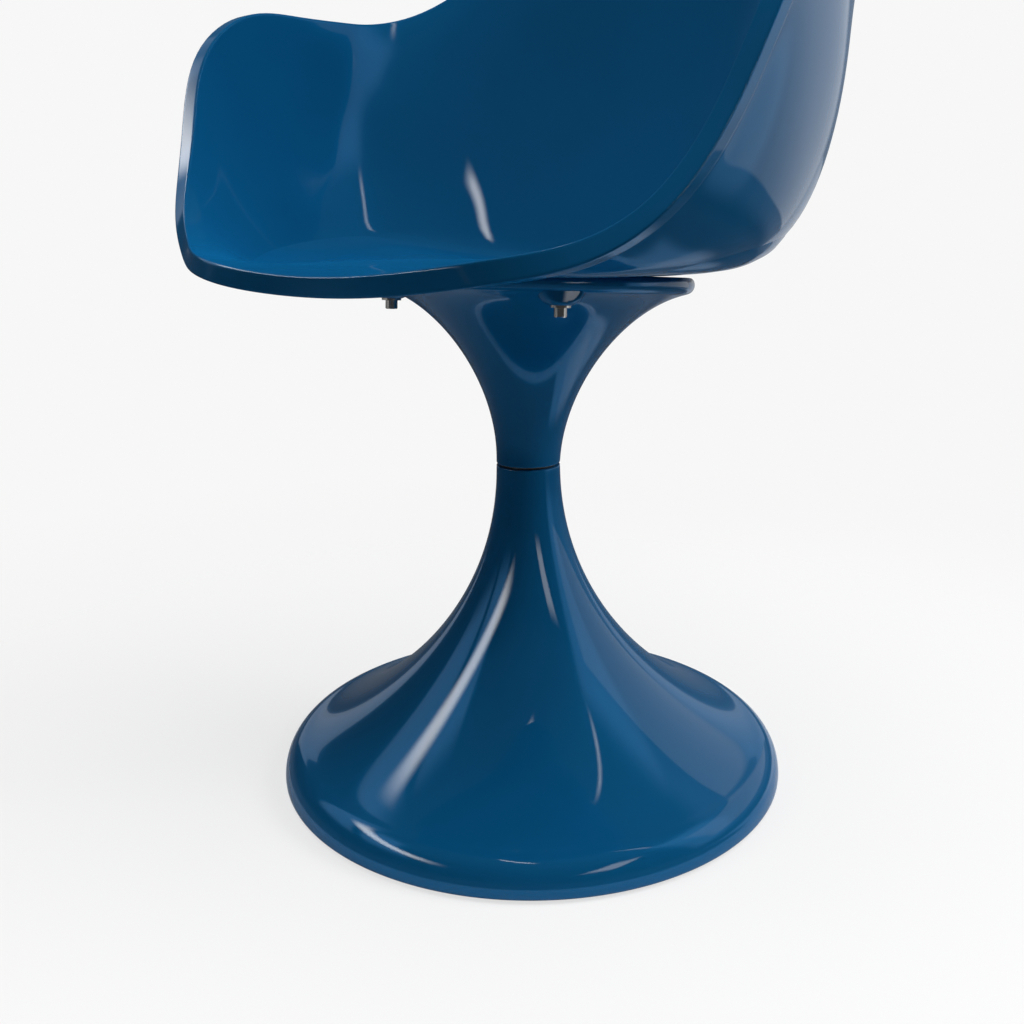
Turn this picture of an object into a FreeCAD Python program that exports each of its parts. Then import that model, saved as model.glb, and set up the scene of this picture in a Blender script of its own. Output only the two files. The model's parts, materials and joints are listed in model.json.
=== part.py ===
import FreeCAD, Part
import os
from math import acos, cos, pi, radians, sin, sqrt, tan

# A bare moulded armchair on a two part trumpet pedestal. The lower trumpet stands on the floor
# and holds a steel post. The upper trumpet and the seat turn on it about the upright axis, on a
# spindle in two bushes. Millimetres and degrees, +Z up, the front of the seat towards -Y, and
# the origin on the floor, on the swivel axis.

# Driving sizes of the whole chair
BASE_RADIUS = 225.0
NECK_RADIUS = 27.5
NECK_TOP = 280.0
SEAT_RISE = 159.4
SEAT_RAKE = 3.8
SHELL_HALF_WIDTH = 261.0
SHELL_FRONT = 246.0
SHELL_BACK = 220.0
ARM_RISE = 219.0
BACK_RISE = 393.0

# Clearances and cuts
RUNNING_GAP = 0.05
LOOSE_GAP = 0.3
OVERRUN = 20.0

# Lower trumpet, a moulded shell with a rolled lip that stays just off the floor
TRUMPET_WALL = 5.0
FLOOR_GAP = 1.5
LIP_ROUND = 5.0
LIP_HEIGHT = 32.4
LIP_WIDTH = 19.2
LIP_SLOPE = 11.5
ROUND_SHARE = 0.55
FLARE_FOOT_HANDLE = 26.5
FLARE_NECK_HANDLE = 162.0
LUG_COUNT = 4
LUG_RADIUS = 9.0
LUG_INSET = 22.0

# Steel plate, ballast and foot ring under the trumpet
PLATE_EDGE_GAP = 7.0
PLATE_THICKNESS = 4.0
PLATE_BOTTOM = 7.0
BALLAST_GAP = 9.0
BALLAST_WIDTH = 44.0
BALLAST_HEIGHT = 16.0
BALLAST_CHAMFER = 3.0
FOOT_INSET = 2.0
FOOT_WIDTH = 12.0
FOOT_CHAMFER = 1.5

# Post, its gussets and its two flanged bushes
POST_GAP = 0.25
POST_WALL = 3.0
GUSSET_COUNT = 4
GUSSET_THICKNESS = 4.0
GUSSET_REACH = 56.0
GUSSET_HEIGHT = 64.0
GUSSET_TIP = 6.0
BUSH_FLANGE = 3.0
TOP_BUSH_LENGTH = 34.0
LOW_BUSH_LENGTH = 26.0
LOW_BUSH_RISE = 85.0

# Thrust stack in the groove between the two trumpets
RACE_INSET = 4.0
RACE_THICKNESS = 0.8

# Spindle, its retaining washer and its clip
SPINDLE_RADIUS = 12.5
SPINDLE_COLLAR_GAP = 0.5
SPINDLE_COLLAR_HEIGHT = 9.0
SPINDLE_SHOULDER = 4.5
SPINDLE_HEAD_DEPTH = 12.2
SPINDLE_TAIL = 8.0
SPINDLE_CHAMFER = 1.5
RETAINER_GAP = 1.25
RETAINER_THICKNESS = 1.5
CLIP_REACH = 3.5
CLIP_THICKNESS = 1.2
CLIP_DEPTH = 1.2
CLIP_MOUTH = 6.0

# Hub, ribs and plate that carry the seat
HUB_WALL = 7.0
HUB_DEPTH = 54.2
HUB_PIN_RADIUS = 3.0
HUB_PIN_DROP = 30.0
RIB_COUNT = 4
RIB_THICKNESS = 4.0
RIB_REACH = 46.0
RIB_HEIGHT = 30.0
RIB_TIP = 5.0
MOUNT_EDGE = 8.0
MOUNT_THICKNESS = 5.0

# Upper trumpet, raked with the seat
FLANGE_RADIUS = 133.0
FLANGE_NOSE = 4.5
FLANGE_NOSE_DROP = 6.0
FLANGE_LIP = 13.4
FLANGE_LIP_INSET = 6.0
FLANGE_SLOPE = 14.0
BELL_NECK_HANDLE = 70.8
BELL_FLANGE_HANDLE = 58.0
BELL_SEAT_INSET = 21.0
BELL_SEAT_SLOPE = 47.0
BELL_INNER_NECK_HANDLE = 74.0
BELL_INNER_SEAT_HANDLE = 26.0
NECK_OVERLAP = 6.0

# Three screws on a circle, two in front and one behind, each with a bowl shaped boss, a washer and
# an insert in the seat
SCREW_ANGLES = (-135.0, -45.0, 90.0)
SCREW_INSET = 15.0
SCREW_RADIUS = 3.0
SCREW_HEAD_RADIUS = 5.0
SCREW_HEAD_HEIGHT = 7.0
SCREW_SOCKET_FLATS = 5.0
SCREW_SOCKET_DEPTH = 3.5
SCREW_HEAD_CHAMFER = 0.6
SCREW_TIP_GAP = 1.5
WASHER_RADIUS = 8.0
WASHER_THICKNESS = 1.6
BOSS_DROP = 22.5
BOSS_FLAT_EDGE = 0.5
BOSS_TOP_RADIUS = 19.0
BOSS_TOP_DROP = 9.0
BOSS_BULGE = 2.6
INSERT_WALL = 2.0
INSERT_LENGTH = 5.5
PAD_WALL = 8.0
PAD_CAP = 2.0

# Screws that hold the plate to the lugs of the lower trumpet
BASE_SCREW_RADIUS = 2.5
BASE_SCREW_HEAD_RADIUS = 4.8
BASE_SCREW_HEAD_HEIGHT = 2.6
BASE_SCREW_REACH = 12.0
BASE_SCREW_SLOT_WIDTH = 1.2
BASE_SCREW_SLOT_DEPTH = 1.2

# Seat shell: walls, pan and the rolled rim
SHELL_WALL = 5.0
PAN_THICKNESS = 10.0
PAN_OUTER_RADIUS = 95.0
PAN_INNER_RADIUS = 84.0
PAN_LIFT = 2.0
PAN_EASE_SHARE = 0.4
FRONT_DROP = 13.0
HEEL_SIDE_INSET = 35.0
HEEL_FRONT_INSET = 22.0
HEEL_BACK_INSET = 81.0
HEEL_RISE = 20.0
WALL_BOW = 21.0
BOW_FULL_SHARE = 0.8
WALL_POLE_SHARES = (0.33, 0.70)
BOW_POLE_SHARES = (1.0, 0.8)
RIM_WIDTH = 15.0
RIM_DEPTH = 11.0
RIM_INNER_ROOT = 9.0
RIM_OUTER_ROOT = 14.0

# Poles of the rim on one side, from the middle of the front to the middle of the back, as
# shares: across by the half width, along by the front or back reach, and the level, which runs
# from -1 at the front lip through 0 at the flange and 1 at the arms to 2 at the top of the back
RIM_SHARES = (
    (0.000, -0.992, -1.000),
    (0.307, -1.000, -0.700),
    (0.525, -0.955, -0.080),
    (0.701, -0.829, 0.036),
    (0.858, -0.736, 0.176),
    (0.939, -0.614, 0.450),
    (1.000, -0.541, 0.780),
    (0.996, -0.337, 0.977),
    (0.981, -0.102, 0.986),
    (0.935, 0.110, 1.003),
    (0.895, 0.330, 1.020),
    (0.785, 0.610, 1.170),
    (0.450, 0.920, 1.740),
    (0.000, 1.000, 2.000),
)

# Poles of the heel, where the pan turns up into the wall, over the same stations: across by the
# heel's half width, along by its front or back reach, and up by its rise
HEEL_SHARES = (
    (0.000, -1.000, -0.15),
    (0.274, -0.955, -0.20),
    (0.500, -0.884, -0.20),
    (0.695, -0.772, -0.25),
    (0.845, -0.634, -0.20),
    (0.947, -0.464, -0.10),
    (1.000, -0.277, 0.10),
    (0.991, -0.080, 0.55),
    (0.929, 0.180, 1.00),
    (0.860, 0.280, 1.00),
    (0.730, 0.520, 0.75),
    (0.520, 0.820, 0.50),
    (0.235, 0.971, 0.35),
    (0.000, 1.000, 0.25),
)

# Section of the rolled rim, from the inner wall over the rim to the outer wall: across as shares
# of half the rim's width and along the wall as shares of half its depth
RIM_SECTION_SHARES = (
    (-1.0, 0.0),
    (-1.0, 1.0),
    (-0.35, 1.0),
    (0.40, 1.0),
    (1.0, 1.0),
    (1.0, 0.0),
    (1.0, -1.0),
    (0.30, -1.0),
)
OUTER_WALL_SHARE = -1.0 + 2.0 * SHELL_WALL / RIM_WIDTH

UP = FreeCAD.Vector(0, 0, 1)
ACROSS = FreeCAD.Vector(1, 0, 0)
ORIGIN = FreeCAD.Vector(0, 0, 0)
FULL_TURN = 360.0
FRONT_ANGLE = -90.0
DIAGONAL = 45.0
THRUST_WASHER_COUNT = 3
HEXAGON_SIDES = 6

# Under the trumpet: plate, lugs, ballast and foot ring follow its lip
PLATE_RADIUS = BASE_RADIUS - 2.0 * LIP_ROUND - PLATE_EDGE_GAP
PLATE_TOP = PLATE_BOTTOM + PLATE_THICKNESS
LUG_CIRCLE_RADIUS = PLATE_RADIUS - LUG_INSET
BALLAST_OUTER_RADIUS = LUG_CIRCLE_RADIUS - LUG_RADIUS - BALLAST_GAP
BALLAST_INNER_RADIUS = BALLAST_OUTER_RADIUS - BALLAST_WIDTH
FOOT_OUTER_RADIUS = PLATE_RADIUS - FOOT_INSET
FOOT_INNER_RADIUS = FOOT_OUTER_RADIUS - FOOT_WIDTH

# Inside the necks: the post, the washers in the groove and what turns on the spindle
NECK_BORE_RADIUS = NECK_RADIUS - TRUMPET_WALL
NECK_BOTTOM = NECK_TOP + THRUST_WASHER_COUNT * RACE_THICKNESS
SEAM_MIDDLE = (NECK_TOP + NECK_BOTTOM) / 2.0
POST_RADIUS = NECK_BORE_RADIUS - POST_GAP
POST_BORE_RADIUS = POST_RADIUS - POST_WALL
LOW_BUSH_TOP = PLATE_TOP + LOW_BUSH_RISE
LOW_BUSH_BOTTOM = LOW_BUSH_TOP - LOW_BUSH_LENGTH
RACE_RADIUS = NECK_RADIUS - RACE_INSET
SPINDLE_COLLAR_RADIUS = NECK_BORE_RADIUS - SPINDLE_COLLAR_GAP
SPINDLE_HEAD_RADIUS = SPINDLE_RADIUS + SPINDLE_SHOULDER
RETAINER_RADIUS = POST_BORE_RADIUS - RETAINER_GAP
CLIP_RADIUS = SPINDLE_RADIUS + CLIP_REACH
HUB_RADIUS = SPINDLE_HEAD_RADIUS + HUB_WALL

# Round the flange: mounting plate, screws, inserts and the bosses above and below
MOUNT_RADIUS = FLANGE_RADIUS - MOUNT_EDGE
BELL_SEAT_RADIUS = MOUNT_RADIUS - BELL_SEAT_INSET
SCREW_CIRCLE_RADIUS = FLANGE_RADIUS - SCREW_INSET
SCREW_HOLE_RADIUS = SCREW_RADIUS + LOOSE_GAP
SCREW_REACH = INSERT_LENGTH - SCREW_TIP_GAP
BOSS_FLAT_RADIUS = WASHER_RADIUS + BOSS_FLAT_EDGE
INSERT_RADIUS = SCREW_RADIUS + INSERT_WALL
PAD_RADIUS = INSERT_RADIUS + PAD_WALL
PAD_HEIGHT = INSERT_LENGTH + PAD_CAP

# The heel of the seat follows the rim
HEEL_HALF_WIDTH = SHELL_HALF_WIDTH - HEEL_SIDE_INSET
HEEL_FRONT = SHELL_FRONT - HEEL_FRONT_INSET
HEEL_BACK = SHELL_BACK - HEEL_BACK_INSET

SEAT_ORIGIN = FreeCAD.Vector(
    0,
    SEAT_RISE * sin(radians(SEAT_RAKE)),
    SEAM_MIDDLE + SEAT_RISE * cos(radians(SEAT_RAKE)),
)
SEAT_PLACE = FreeCAD.Placement(SEAT_ORIGIN, FreeCAD.Rotation(ACROSS, -SEAT_RAKE))
SPINDLE_HEAD_TOP = SEAT_ORIGIN.z - SPINDLE_HEAD_DEPTH
HUB_BOTTOM = SEAT_ORIGIN.z - HUB_DEPTH


def polar(radius, angle, height=0.0):
    """A point at this radius, angle in degrees and height."""
    return FreeCAD.Vector(radius * cos(radians(angle)), radius * sin(radians(angle)), height)


def profile_point(radius, height):
    """A point of a turned profile, drawn in the XZ plane."""
    return FreeCAD.Vector(radius, 0, height)


def line(start, end):
    return Part.LineSegment(start, end).toShape()


def bezier(*points):
    curve = Part.BezierCurve()
    curve.setPoles(list(points))
    return curve.toShape()


def direction(angle):
    """A unit vector of the XZ plane at this angle above +X."""
    return FreeCAD.Vector(cos(radians(angle)), 0, sin(radians(angle)))


def turned(edges):
    """The solid that a closed profile sweeps about the upright axis."""
    face = Part.Face(Part.Wire(Part.__sortEdges__(edges)))
    return face.revolve(ORIGIN, UP, FULL_TURN)


def polygon_edges(points):
    closed = list(points) + [points[0]]
    return [line(start, end) for start, end in zip(closed, closed[1:])]


def turned_polygon(pairs):
    """A turned solid from (radius, height) corners."""
    return turned(polygon_edges([profile_point(radius, height) for radius, height in pairs]))


def disc(radius, bottom, top, centre=ORIGIN):
    """An upright cylinder from one height to another."""
    base = FreeCAD.Vector(centre.x, centre.y, bottom)
    return Part.makeCylinder(radius, top - bottom, base, UP)


def ring(inner, outer, bottom, top, centre=ORIGIN):
    """An upright ring from one height to another."""
    bore = disc(inner, bottom - OVERRUN, top + OVERRUN, centre)
    return disc(outer, bottom, top, centre).cut(bore)


def hexagon(flats, bottom, top):
    """An upright hexagonal bar, measured across its flats."""
    corner_radius = flats / 2.0 / cos(pi / HEXAGON_SIDES)
    corners = [polar(corner_radius, angle, bottom) for angle in around(HEXAGON_SIDES)]
    return Part.Face(Part.Wire(polygon_edges(corners))).extrude(UP * (top - bottom))


def around(count, offset=0.0):
    """Equally spaced angles, in degrees."""
    return [offset + FULL_TURN * index / count for index in range(count)]


def on_seat(shape):
    """A shape drawn on the flange's own axes, moved to its raked place."""
    moved = shape.copy()
    moved.Placement = SEAT_PLACE.multiply(moved.Placement)
    return moved


def below_mount():
    """A block that fills the space under the raked mounting plate."""
    side = 2.0 * (FLANGE_RADIUS + OVERRUN)
    corner = FreeCAD.Vector(-side / 2.0, -side / 2.0, -MOUNT_THICKNESS - side)
    return on_seat(Part.makeBox(side, side, side, corner))


def base_lip_points():
    """The lip's top on the outer and the inner side, and its direction there."""
    heading = direction(180.0 - LIP_SLOPE)
    outer = profile_point(BASE_RADIUS - LIP_WIDTH, LIP_HEIGHT)
    inward = FreeCAD.Vector(-heading.z, 0, heading.x)
    return outer, outer + inward * TRUMPET_WALL, heading


def make_base_shell():
    """The lower trumpet: a rolled lip, a long flare and a straight neck, with screw lugs."""
    outer_top, inner_top, heading = base_lip_points()
    lip_bottom = FLOOR_GAP + LIP_ROUND
    outer_foot = profile_point(BASE_RADIUS, lip_bottom)
    inner_foot = profile_point(BASE_RADIUS - 2.0 * LIP_ROUND, lip_bottom)
    lowest = profile_point(BASE_RADIUS - LIP_ROUND, FLOOR_GAP)
    neck_outer = profile_point(NECK_RADIUS, NECK_TOP)
    neck_inner = profile_point(NECK_BORE_RADIUS, NECK_TOP)
    rise = (outer_top.z - outer_foot.z) * ROUND_SHARE
    inner_rise = (inner_top.z - inner_foot.z) * ROUND_SHARE
    inner_run = (inner_foot.x - inner_top.x) * ROUND_SHARE
    shrink = (inner_top.x - neck_inner.x) / (outer_top.x - neck_outer.x)
    edges = [
        Part.Arc(outer_foot, lowest, inner_foot).toShape(),
        bezier(
            outer_foot,
            outer_foot + UP * rise,
            outer_top - heading * (LIP_WIDTH * ROUND_SHARE),
            outer_top,
        ),
        bezier(
            outer_top,
            outer_top + heading * FLARE_FOOT_HANDLE,
            neck_outer - UP * FLARE_NECK_HANDLE,
            neck_outer,
        ),
        line(neck_outer, neck_inner),
        bezier(
            neck_inner,
            neck_inner - UP * (FLARE_NECK_HANDLE * shrink),
            inner_top + heading * (FLARE_FOOT_HANDLE * shrink),
            inner_top,
        ),
        bezier(
            inner_top,
            inner_top - heading * inner_run,
            inner_foot + UP * inner_rise,
            inner_foot,
        ),
    ]
    shell = turned(edges)
    lug_top = LIP_HEIGHT + TRUMPET_WALL
    for angle in around(LUG_COUNT):
        centre = polar(LUG_CIRCLE_RADIUS, angle)
        lug = disc(LUG_RADIUS, PLATE_TOP, lug_top, centre)
        shell = shell.fuse(lug.common(base_filling()))
        shell = shell.cut(disc(BASE_SCREW_RADIUS, PLATE_TOP - OVERRUN, screw_tip(), centre))
    return shell


def base_filling():
    """The space inside the lower trumpet's outer face, which trims the lugs."""
    outer_top, inner_top, heading = base_lip_points()
    neck = profile_point(NECK_RADIUS, NECK_TOP)
    edges = [
        bezier(
            outer_top,
            outer_top + heading * FLARE_FOOT_HANDLE,
            neck - UP * FLARE_NECK_HANDLE,
            neck,
        ),
        line(neck, profile_point(0, NECK_TOP)),
        line(profile_point(0, NECK_TOP), profile_point(0, 0)),
        line(profile_point(0, 0), profile_point(outer_top.x, 0)),
        line(profile_point(outer_top.x, 0), outer_top),
    ]
    return turned(edges)


def screw_tip():
    """Height of the tips of the plate's screws."""
    return PLATE_BOTTOM + BASE_SCREW_REACH


def make_base_plate():
    """A round steel plate with a hole for the post and four screw holes."""
    plate = ring(POST_RADIUS, PLATE_RADIUS, PLATE_BOTTOM, PLATE_TOP)
    for angle in around(LUG_COUNT):
        centre = polar(LUG_CIRCLE_RADIUS, angle)
        plate = plate.cut(disc(BASE_SCREW_RADIUS, -OVERRUN, PLATE_TOP + OVERRUN, centre))
    return plate


def make_ballast_ring():
    """A cast ring on the plate that keeps the chair steady."""
    top = PLATE_TOP + BALLAST_HEIGHT
    return turned_polygon(
        [
            (BALLAST_INNER_RADIUS, PLATE_TOP),
            (BALLAST_OUTER_RADIUS, PLATE_TOP),
            (BALLAST_OUTER_RADIUS, top - BALLAST_CHAMFER),
            (BALLAST_OUTER_RADIUS - BALLAST_CHAMFER, top),
            (BALLAST_INNER_RADIUS + BALLAST_CHAMFER, top),
            (BALLAST_INNER_RADIUS, top - BALLAST_CHAMFER),
        ]
    )


def make_foot_ring():
    """The soft ring between the plate and the floor."""
    return turned_polygon(
        [
            (FOOT_INNER_RADIUS, PLATE_BOTTOM),
            (FOOT_OUTER_RADIUS, PLATE_BOTTOM),
            (FOOT_OUTER_RADIUS, FOOT_CHAMFER),
            (FOOT_OUTER_RADIUS - FOOT_CHAMFER, 0),
            (FOOT_INNER_RADIUS + FOOT_CHAMFER, 0),
            (FOOT_INNER_RADIUS, FOOT_CHAMFER),
        ]
    )


def make_base_screw(angle):
    """A slotted pan head screw from under the plate into a lug."""
    centre = polar(LUG_CIRCLE_RADIUS, angle)
    head_bottom = PLATE_BOTTOM - BASE_SCREW_HEAD_HEIGHT
    head = disc(BASE_SCREW_HEAD_RADIUS, head_bottom, PLATE_BOTTOM, centre)
    shank = disc(BASE_SCREW_RADIUS, PLATE_BOTTOM, screw_tip(), centre)
    slot = Part.makeBox(
        2.0 * BASE_SCREW_HEAD_RADIUS,
        BASE_SCREW_SLOT_WIDTH,
        BASE_SCREW_SLOT_DEPTH,
        FreeCAD.Vector(
            centre.x - BASE_SCREW_HEAD_RADIUS,
            centre.y - BASE_SCREW_SLOT_WIDTH / 2.0,
            head_bottom,
        ),
    )
    return head.fuse(shank).cut(slot)


def make_post_tube():
    """The steel tube that stands in the plate and ends under the top bush."""
    return ring(POST_BORE_RADIUS, POST_RADIUS, PLATE_BOTTOM, NECK_TOP - BUSH_FLANGE)


def make_gusset(angle):
    """A welded web between the post and the plate."""
    tip = POST_RADIUS + GUSSET_REACH
    inner = POST_BORE_RADIUS
    outline = [
        FreeCAD.Vector(inner, -GUSSET_THICKNESS / 2.0, PLATE_TOP),
        FreeCAD.Vector(tip, -GUSSET_THICKNESS / 2.0, PLATE_TOP),
        FreeCAD.Vector(tip, -GUSSET_THICKNESS / 2.0, PLATE_TOP + GUSSET_TIP),
        FreeCAD.Vector(POST_RADIUS + GUSSET_TIP, -GUSSET_THICKNESS / 2.0, PLATE_TOP + GUSSET_HEIGHT),
        FreeCAD.Vector(inner, -GUSSET_THICKNESS / 2.0, PLATE_TOP + GUSSET_HEIGHT),
    ]
    face = Part.Face(Part.Wire(polygon_edges(outline)))
    web = face.extrude(FreeCAD.Vector(0, GUSSET_THICKNESS, 0))
    web.rotate(ORIGIN, UP, angle)
    return web.cut(disc(POST_RADIUS, PLATE_BOTTOM, NECK_TOP))


def make_top_bush():
    """The flanged bush on the post, under the thrust washers."""
    bore = SPINDLE_RADIUS + RUNNING_GAP
    return turned_polygon(
        [
            (bore, NECK_TOP - TOP_BUSH_LENGTH),
            (POST_BORE_RADIUS, NECK_TOP - TOP_BUSH_LENGTH),
            (POST_BORE_RADIUS, NECK_TOP - BUSH_FLANGE),
            (POST_RADIUS, NECK_TOP - BUSH_FLANGE),
            (POST_RADIUS, NECK_TOP),
            (bore, NECK_TOP),
        ]
    )


def make_low_bush():
    """The plain bush that steadies the spindle's foot."""
    return ring(SPINDLE_RADIUS + RUNNING_GAP, POST_BORE_RADIUS, LOW_BUSH_BOTTOM, LOW_BUSH_TOP)


def make_thrust_washer(layer):
    """One of the three washers in the groove, counted from below."""
    bottom = NECK_TOP + layer * RACE_THICKNESS
    bore = SPINDLE_RADIUS + LOOSE_GAP
    return ring(bore, RACE_RADIUS, bottom, bottom + RACE_THICKNESS)


def clip_top():
    """Height of the upper face of the spindle's clip."""
    return LOW_BUSH_BOTTOM - LOOSE_GAP - RETAINER_THICKNESS


def make_spindle():
    """The steel spindle: a tail with a clip groove, a bearing collar and a head for the hub."""
    foot = clip_top() - CLIP_THICKNESS - SPINDLE_TAIL
    groove_radius = SPINDLE_RADIUS - CLIP_DEPTH
    collar_top = NECK_BOTTOM + SPINDLE_COLLAR_HEIGHT
    return turned_polygon(
        [
            (0, foot),
            (SPINDLE_RADIUS - SPINDLE_CHAMFER, foot),
            (SPINDLE_RADIUS, foot + SPINDLE_CHAMFER),
            (SPINDLE_RADIUS, clip_top() - CLIP_THICKNESS),
            (groove_radius, clip_top() - CLIP_THICKNESS),
            (groove_radius, clip_top()),
            (SPINDLE_RADIUS, clip_top()),
            (SPINDLE_RADIUS, NECK_BOTTOM),
            (SPINDLE_COLLAR_RADIUS, NECK_BOTTOM),
            (SPINDLE_COLLAR_RADIUS, collar_top),
            (SPINDLE_HEAD_RADIUS, collar_top),
            (SPINDLE_HEAD_RADIUS, SPINDLE_HEAD_TOP - SPINDLE_CHAMFER),
            (SPINDLE_HEAD_RADIUS - SPINDLE_CHAMFER, SPINDLE_HEAD_TOP),
            (0, SPINDLE_HEAD_TOP),
        ]
    ).cut(hub_pin_bore())


def make_retaining_washer():
    return ring(SPINDLE_RADIUS, RETAINER_RADIUS, clip_top(), clip_top() + RETAINER_THICKNESS)


def make_clip():
    """The open spring clip in the spindle's groove."""
    body = ring(SPINDLE_RADIUS - CLIP_DEPTH, CLIP_RADIUS, clip_top() - CLIP_THICKNESS, clip_top())
    mouth = Part.makeBox(
        CLIP_MOUTH,
        CLIP_RADIUS + OVERRUN,
        CLIP_THICKNESS + 2.0 * OVERRUN,
        FreeCAD.Vector(-CLIP_MOUTH / 2.0, 0, clip_top() - CLIP_THICKNESS - OVERRUN),
    )
    return body.cut(mouth)


def hub_pin_bore():
    """The cross pin through the hub and the spindle's head."""
    start = FreeCAD.Vector(-HUB_RADIUS, 0, SPINDLE_HEAD_TOP - HUB_PIN_DROP)
    return Part.makeCylinder(HUB_PIN_RADIUS, 2.0 * HUB_RADIUS, start, ACROSS)


def make_hub_pin():
    return hub_pin_bore()


def hub_blank():
    """The hub's outer cylinder, cut off by the raked plate."""
    return disc(HUB_RADIUS, HUB_BOTTOM, SEAT_ORIGIN.z + OVERRUN).common(below_mount())


def make_hub():
    """The steel socket, welded under the mounting plate, that takes the spindle's head."""
    bore = disc(SPINDLE_HEAD_RADIUS, HUB_BOTTOM - OVERRUN, SEAT_ORIGIN.z + OVERRUN)
    return hub_blank().cut(bore).cut(hub_pin_bore())


def make_rib(angle):
    """A welded web between the hub and the underside of the mounting plate."""
    top = SEAT_ORIGIN.z + OVERRUN
    root = SEAT_ORIGIN.z - MOUNT_THICKNESS
    tip = HUB_RADIUS + RIB_REACH
    half = RIB_THICKNESS / 2.0
    outline = [
        FreeCAD.Vector(SPINDLE_HEAD_RADIUS, -half, top),
        FreeCAD.Vector(SPINDLE_HEAD_RADIUS, -half, root - RIB_HEIGHT),
        FreeCAD.Vector(HUB_RADIUS + RIB_TIP, -half, root - RIB_HEIGHT),
        FreeCAD.Vector(tip, -half, root - RIB_TIP),
        FreeCAD.Vector(tip, -half, top),
    ]
    face = Part.Face(Part.Wire(polygon_edges(outline)))
    web = face.extrude(FreeCAD.Vector(0, RIB_THICKNESS, 0))
    web.rotate(ORIGIN, UP, angle)
    return web.common(below_mount()).cut(disc(HUB_RADIUS, NECK_TOP, top + OVERRUN))


def screw_places():
    """Where the seat screws stand, on the flange's own axes."""
    return [polar(SCREW_CIRCLE_RADIUS, angle) for angle in SCREW_ANGLES]


def screw_holes(bottom, top):
    """Clearance cylinders for the seat screws."""
    return [disc(SCREW_HOLE_RADIUS, bottom, top, place) for place in screw_places()]


def make_mounting_plate():
    """The steel disc let into the top of the upper trumpet."""
    plate = disc(MOUNT_RADIUS, -MOUNT_THICKNESS, 0)
    for hole in screw_holes(-OVERRUN, OVERRUN):
        plate = plate.cut(hole)
    return on_seat(plate)


def boss_at(place):
    """A bowl shaped boss under the flange, trimmed so that it stays inside the lip."""
    flat = profile_point(BOSS_FLAT_RADIUS, -BOSS_DROP)
    brim = profile_point(BOSS_TOP_RADIUS, -BOSS_TOP_DROP)
    chord = brim - flat
    outward = FreeCAD.Vector(-chord.z, 0, chord.x)
    outward.normalize()
    belly = flat + chord * 0.5 - outward * BOSS_BULGE
    edges = [
        line(profile_point(0, -BOSS_DROP), flat),
        Part.Arc(flat, belly, brim).toShape(),
        line(brim, profile_point(0, -BOSS_TOP_DROP)),
        line(profile_point(0, -BOSS_TOP_DROP), profile_point(0, -BOSS_DROP)),
    ]
    boss = turned(edges)
    boss.translate(place)
    return boss.common(disc(FLANGE_RADIUS - FLANGE_LIP_INSET / 2.0, -BOSS_DROP - OVERRUN, 0))


def make_seat_support():
    """The upper trumpet: a neck, a bell and a bull nosed flange with its screw bosses."""
    foot = -SEAT_RISE - NECK_OVERLAP
    neck_outer_top = profile_point(NECK_RADIUS, -SEAT_RISE)
    neck_inner_top = profile_point(NECK_BORE_RADIUS, -SEAT_RISE)
    lip_root = profile_point(FLANGE_RADIUS - FLANGE_LIP_INSET, -FLANGE_LIP)
    nose = profile_point(FLANGE_RADIUS, -FLANGE_NOSE_DROP)
    lip_top = profile_point(FLANGE_RADIUS - FLANGE_NOSE, 0)
    seat_edge = profile_point(BELL_SEAT_RADIUS, -MOUNT_THICKNESS)
    recess = MOUNT_RADIUS + LOOSE_GAP
    under_slope = direction(FLANGE_SLOPE)
    nose_drop = (nose.z - lip_root.z) * ROUND_SHARE
    edges = [
        line(profile_point(NECK_RADIUS, foot), neck_outer_top),
        bezier(
            neck_outer_top,
            neck_outer_top + UP * BELL_NECK_HANDLE,
            lip_root - under_slope * BELL_FLANGE_HANDLE,
            lip_root,
        ),
        bezier(
            lip_root,
            lip_root + under_slope * (FLANGE_LIP_INSET * ROUND_SHARE),
            nose - UP * nose_drop,
            nose,
        ),
        bezier(
            nose,
            nose + UP * (FLANGE_NOSE_DROP * ROUND_SHARE),
            lip_top + ACROSS * (FLANGE_NOSE * ROUND_SHARE),
            lip_top,
        ),
        line(lip_top, profile_point(recess, 0)),
        line(profile_point(recess, 0), profile_point(recess, -MOUNT_THICKNESS)),
        line(profile_point(recess, -MOUNT_THICKNESS), seat_edge),
        bezier(
            seat_edge,
            seat_edge - direction(BELL_SEAT_SLOPE) * BELL_INNER_SEAT_HANDLE,
            neck_inner_top + UP * BELL_INNER_NECK_HANDLE,
            neck_inner_top,
        ),
        line(neck_inner_top, profile_point(NECK_BORE_RADIUS, foot)),
        line(profile_point(NECK_BORE_RADIUS, foot), profile_point(NECK_RADIUS, foot)),
    ]
    bell = turned(edges)
    void = turned(bell_void_edges(seat_edge, neck_inner_top))
    for place in screw_places():
        bell = bell.fuse(boss_at(place).cut(void))
    for hole in screw_holes(-BOSS_DROP - OVERRUN, OVERRUN):
        bell = bell.cut(hole)
    bell = on_seat(bell)
    under_seam = disc(FLANGE_RADIUS, NECK_TOP - OVERRUN, NECK_BOTTOM)
    return bell.cut(under_seam)


def bell_void_edges(seat_edge, neck_inner_top):
    """The outline of the hollow in the upper trumpet."""
    return [
        bezier(
            seat_edge,
            seat_edge - direction(BELL_SEAT_SLOPE) * BELL_INNER_SEAT_HANDLE,
            neck_inner_top + UP * BELL_INNER_NECK_HANDLE,
            neck_inner_top,
        ),
        line(neck_inner_top, profile_point(0, neck_inner_top.z)),
        line(profile_point(0, neck_inner_top.z), profile_point(0, seat_edge.z)),
        line(profile_point(0, seat_edge.z), seat_edge),
    ]


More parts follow.
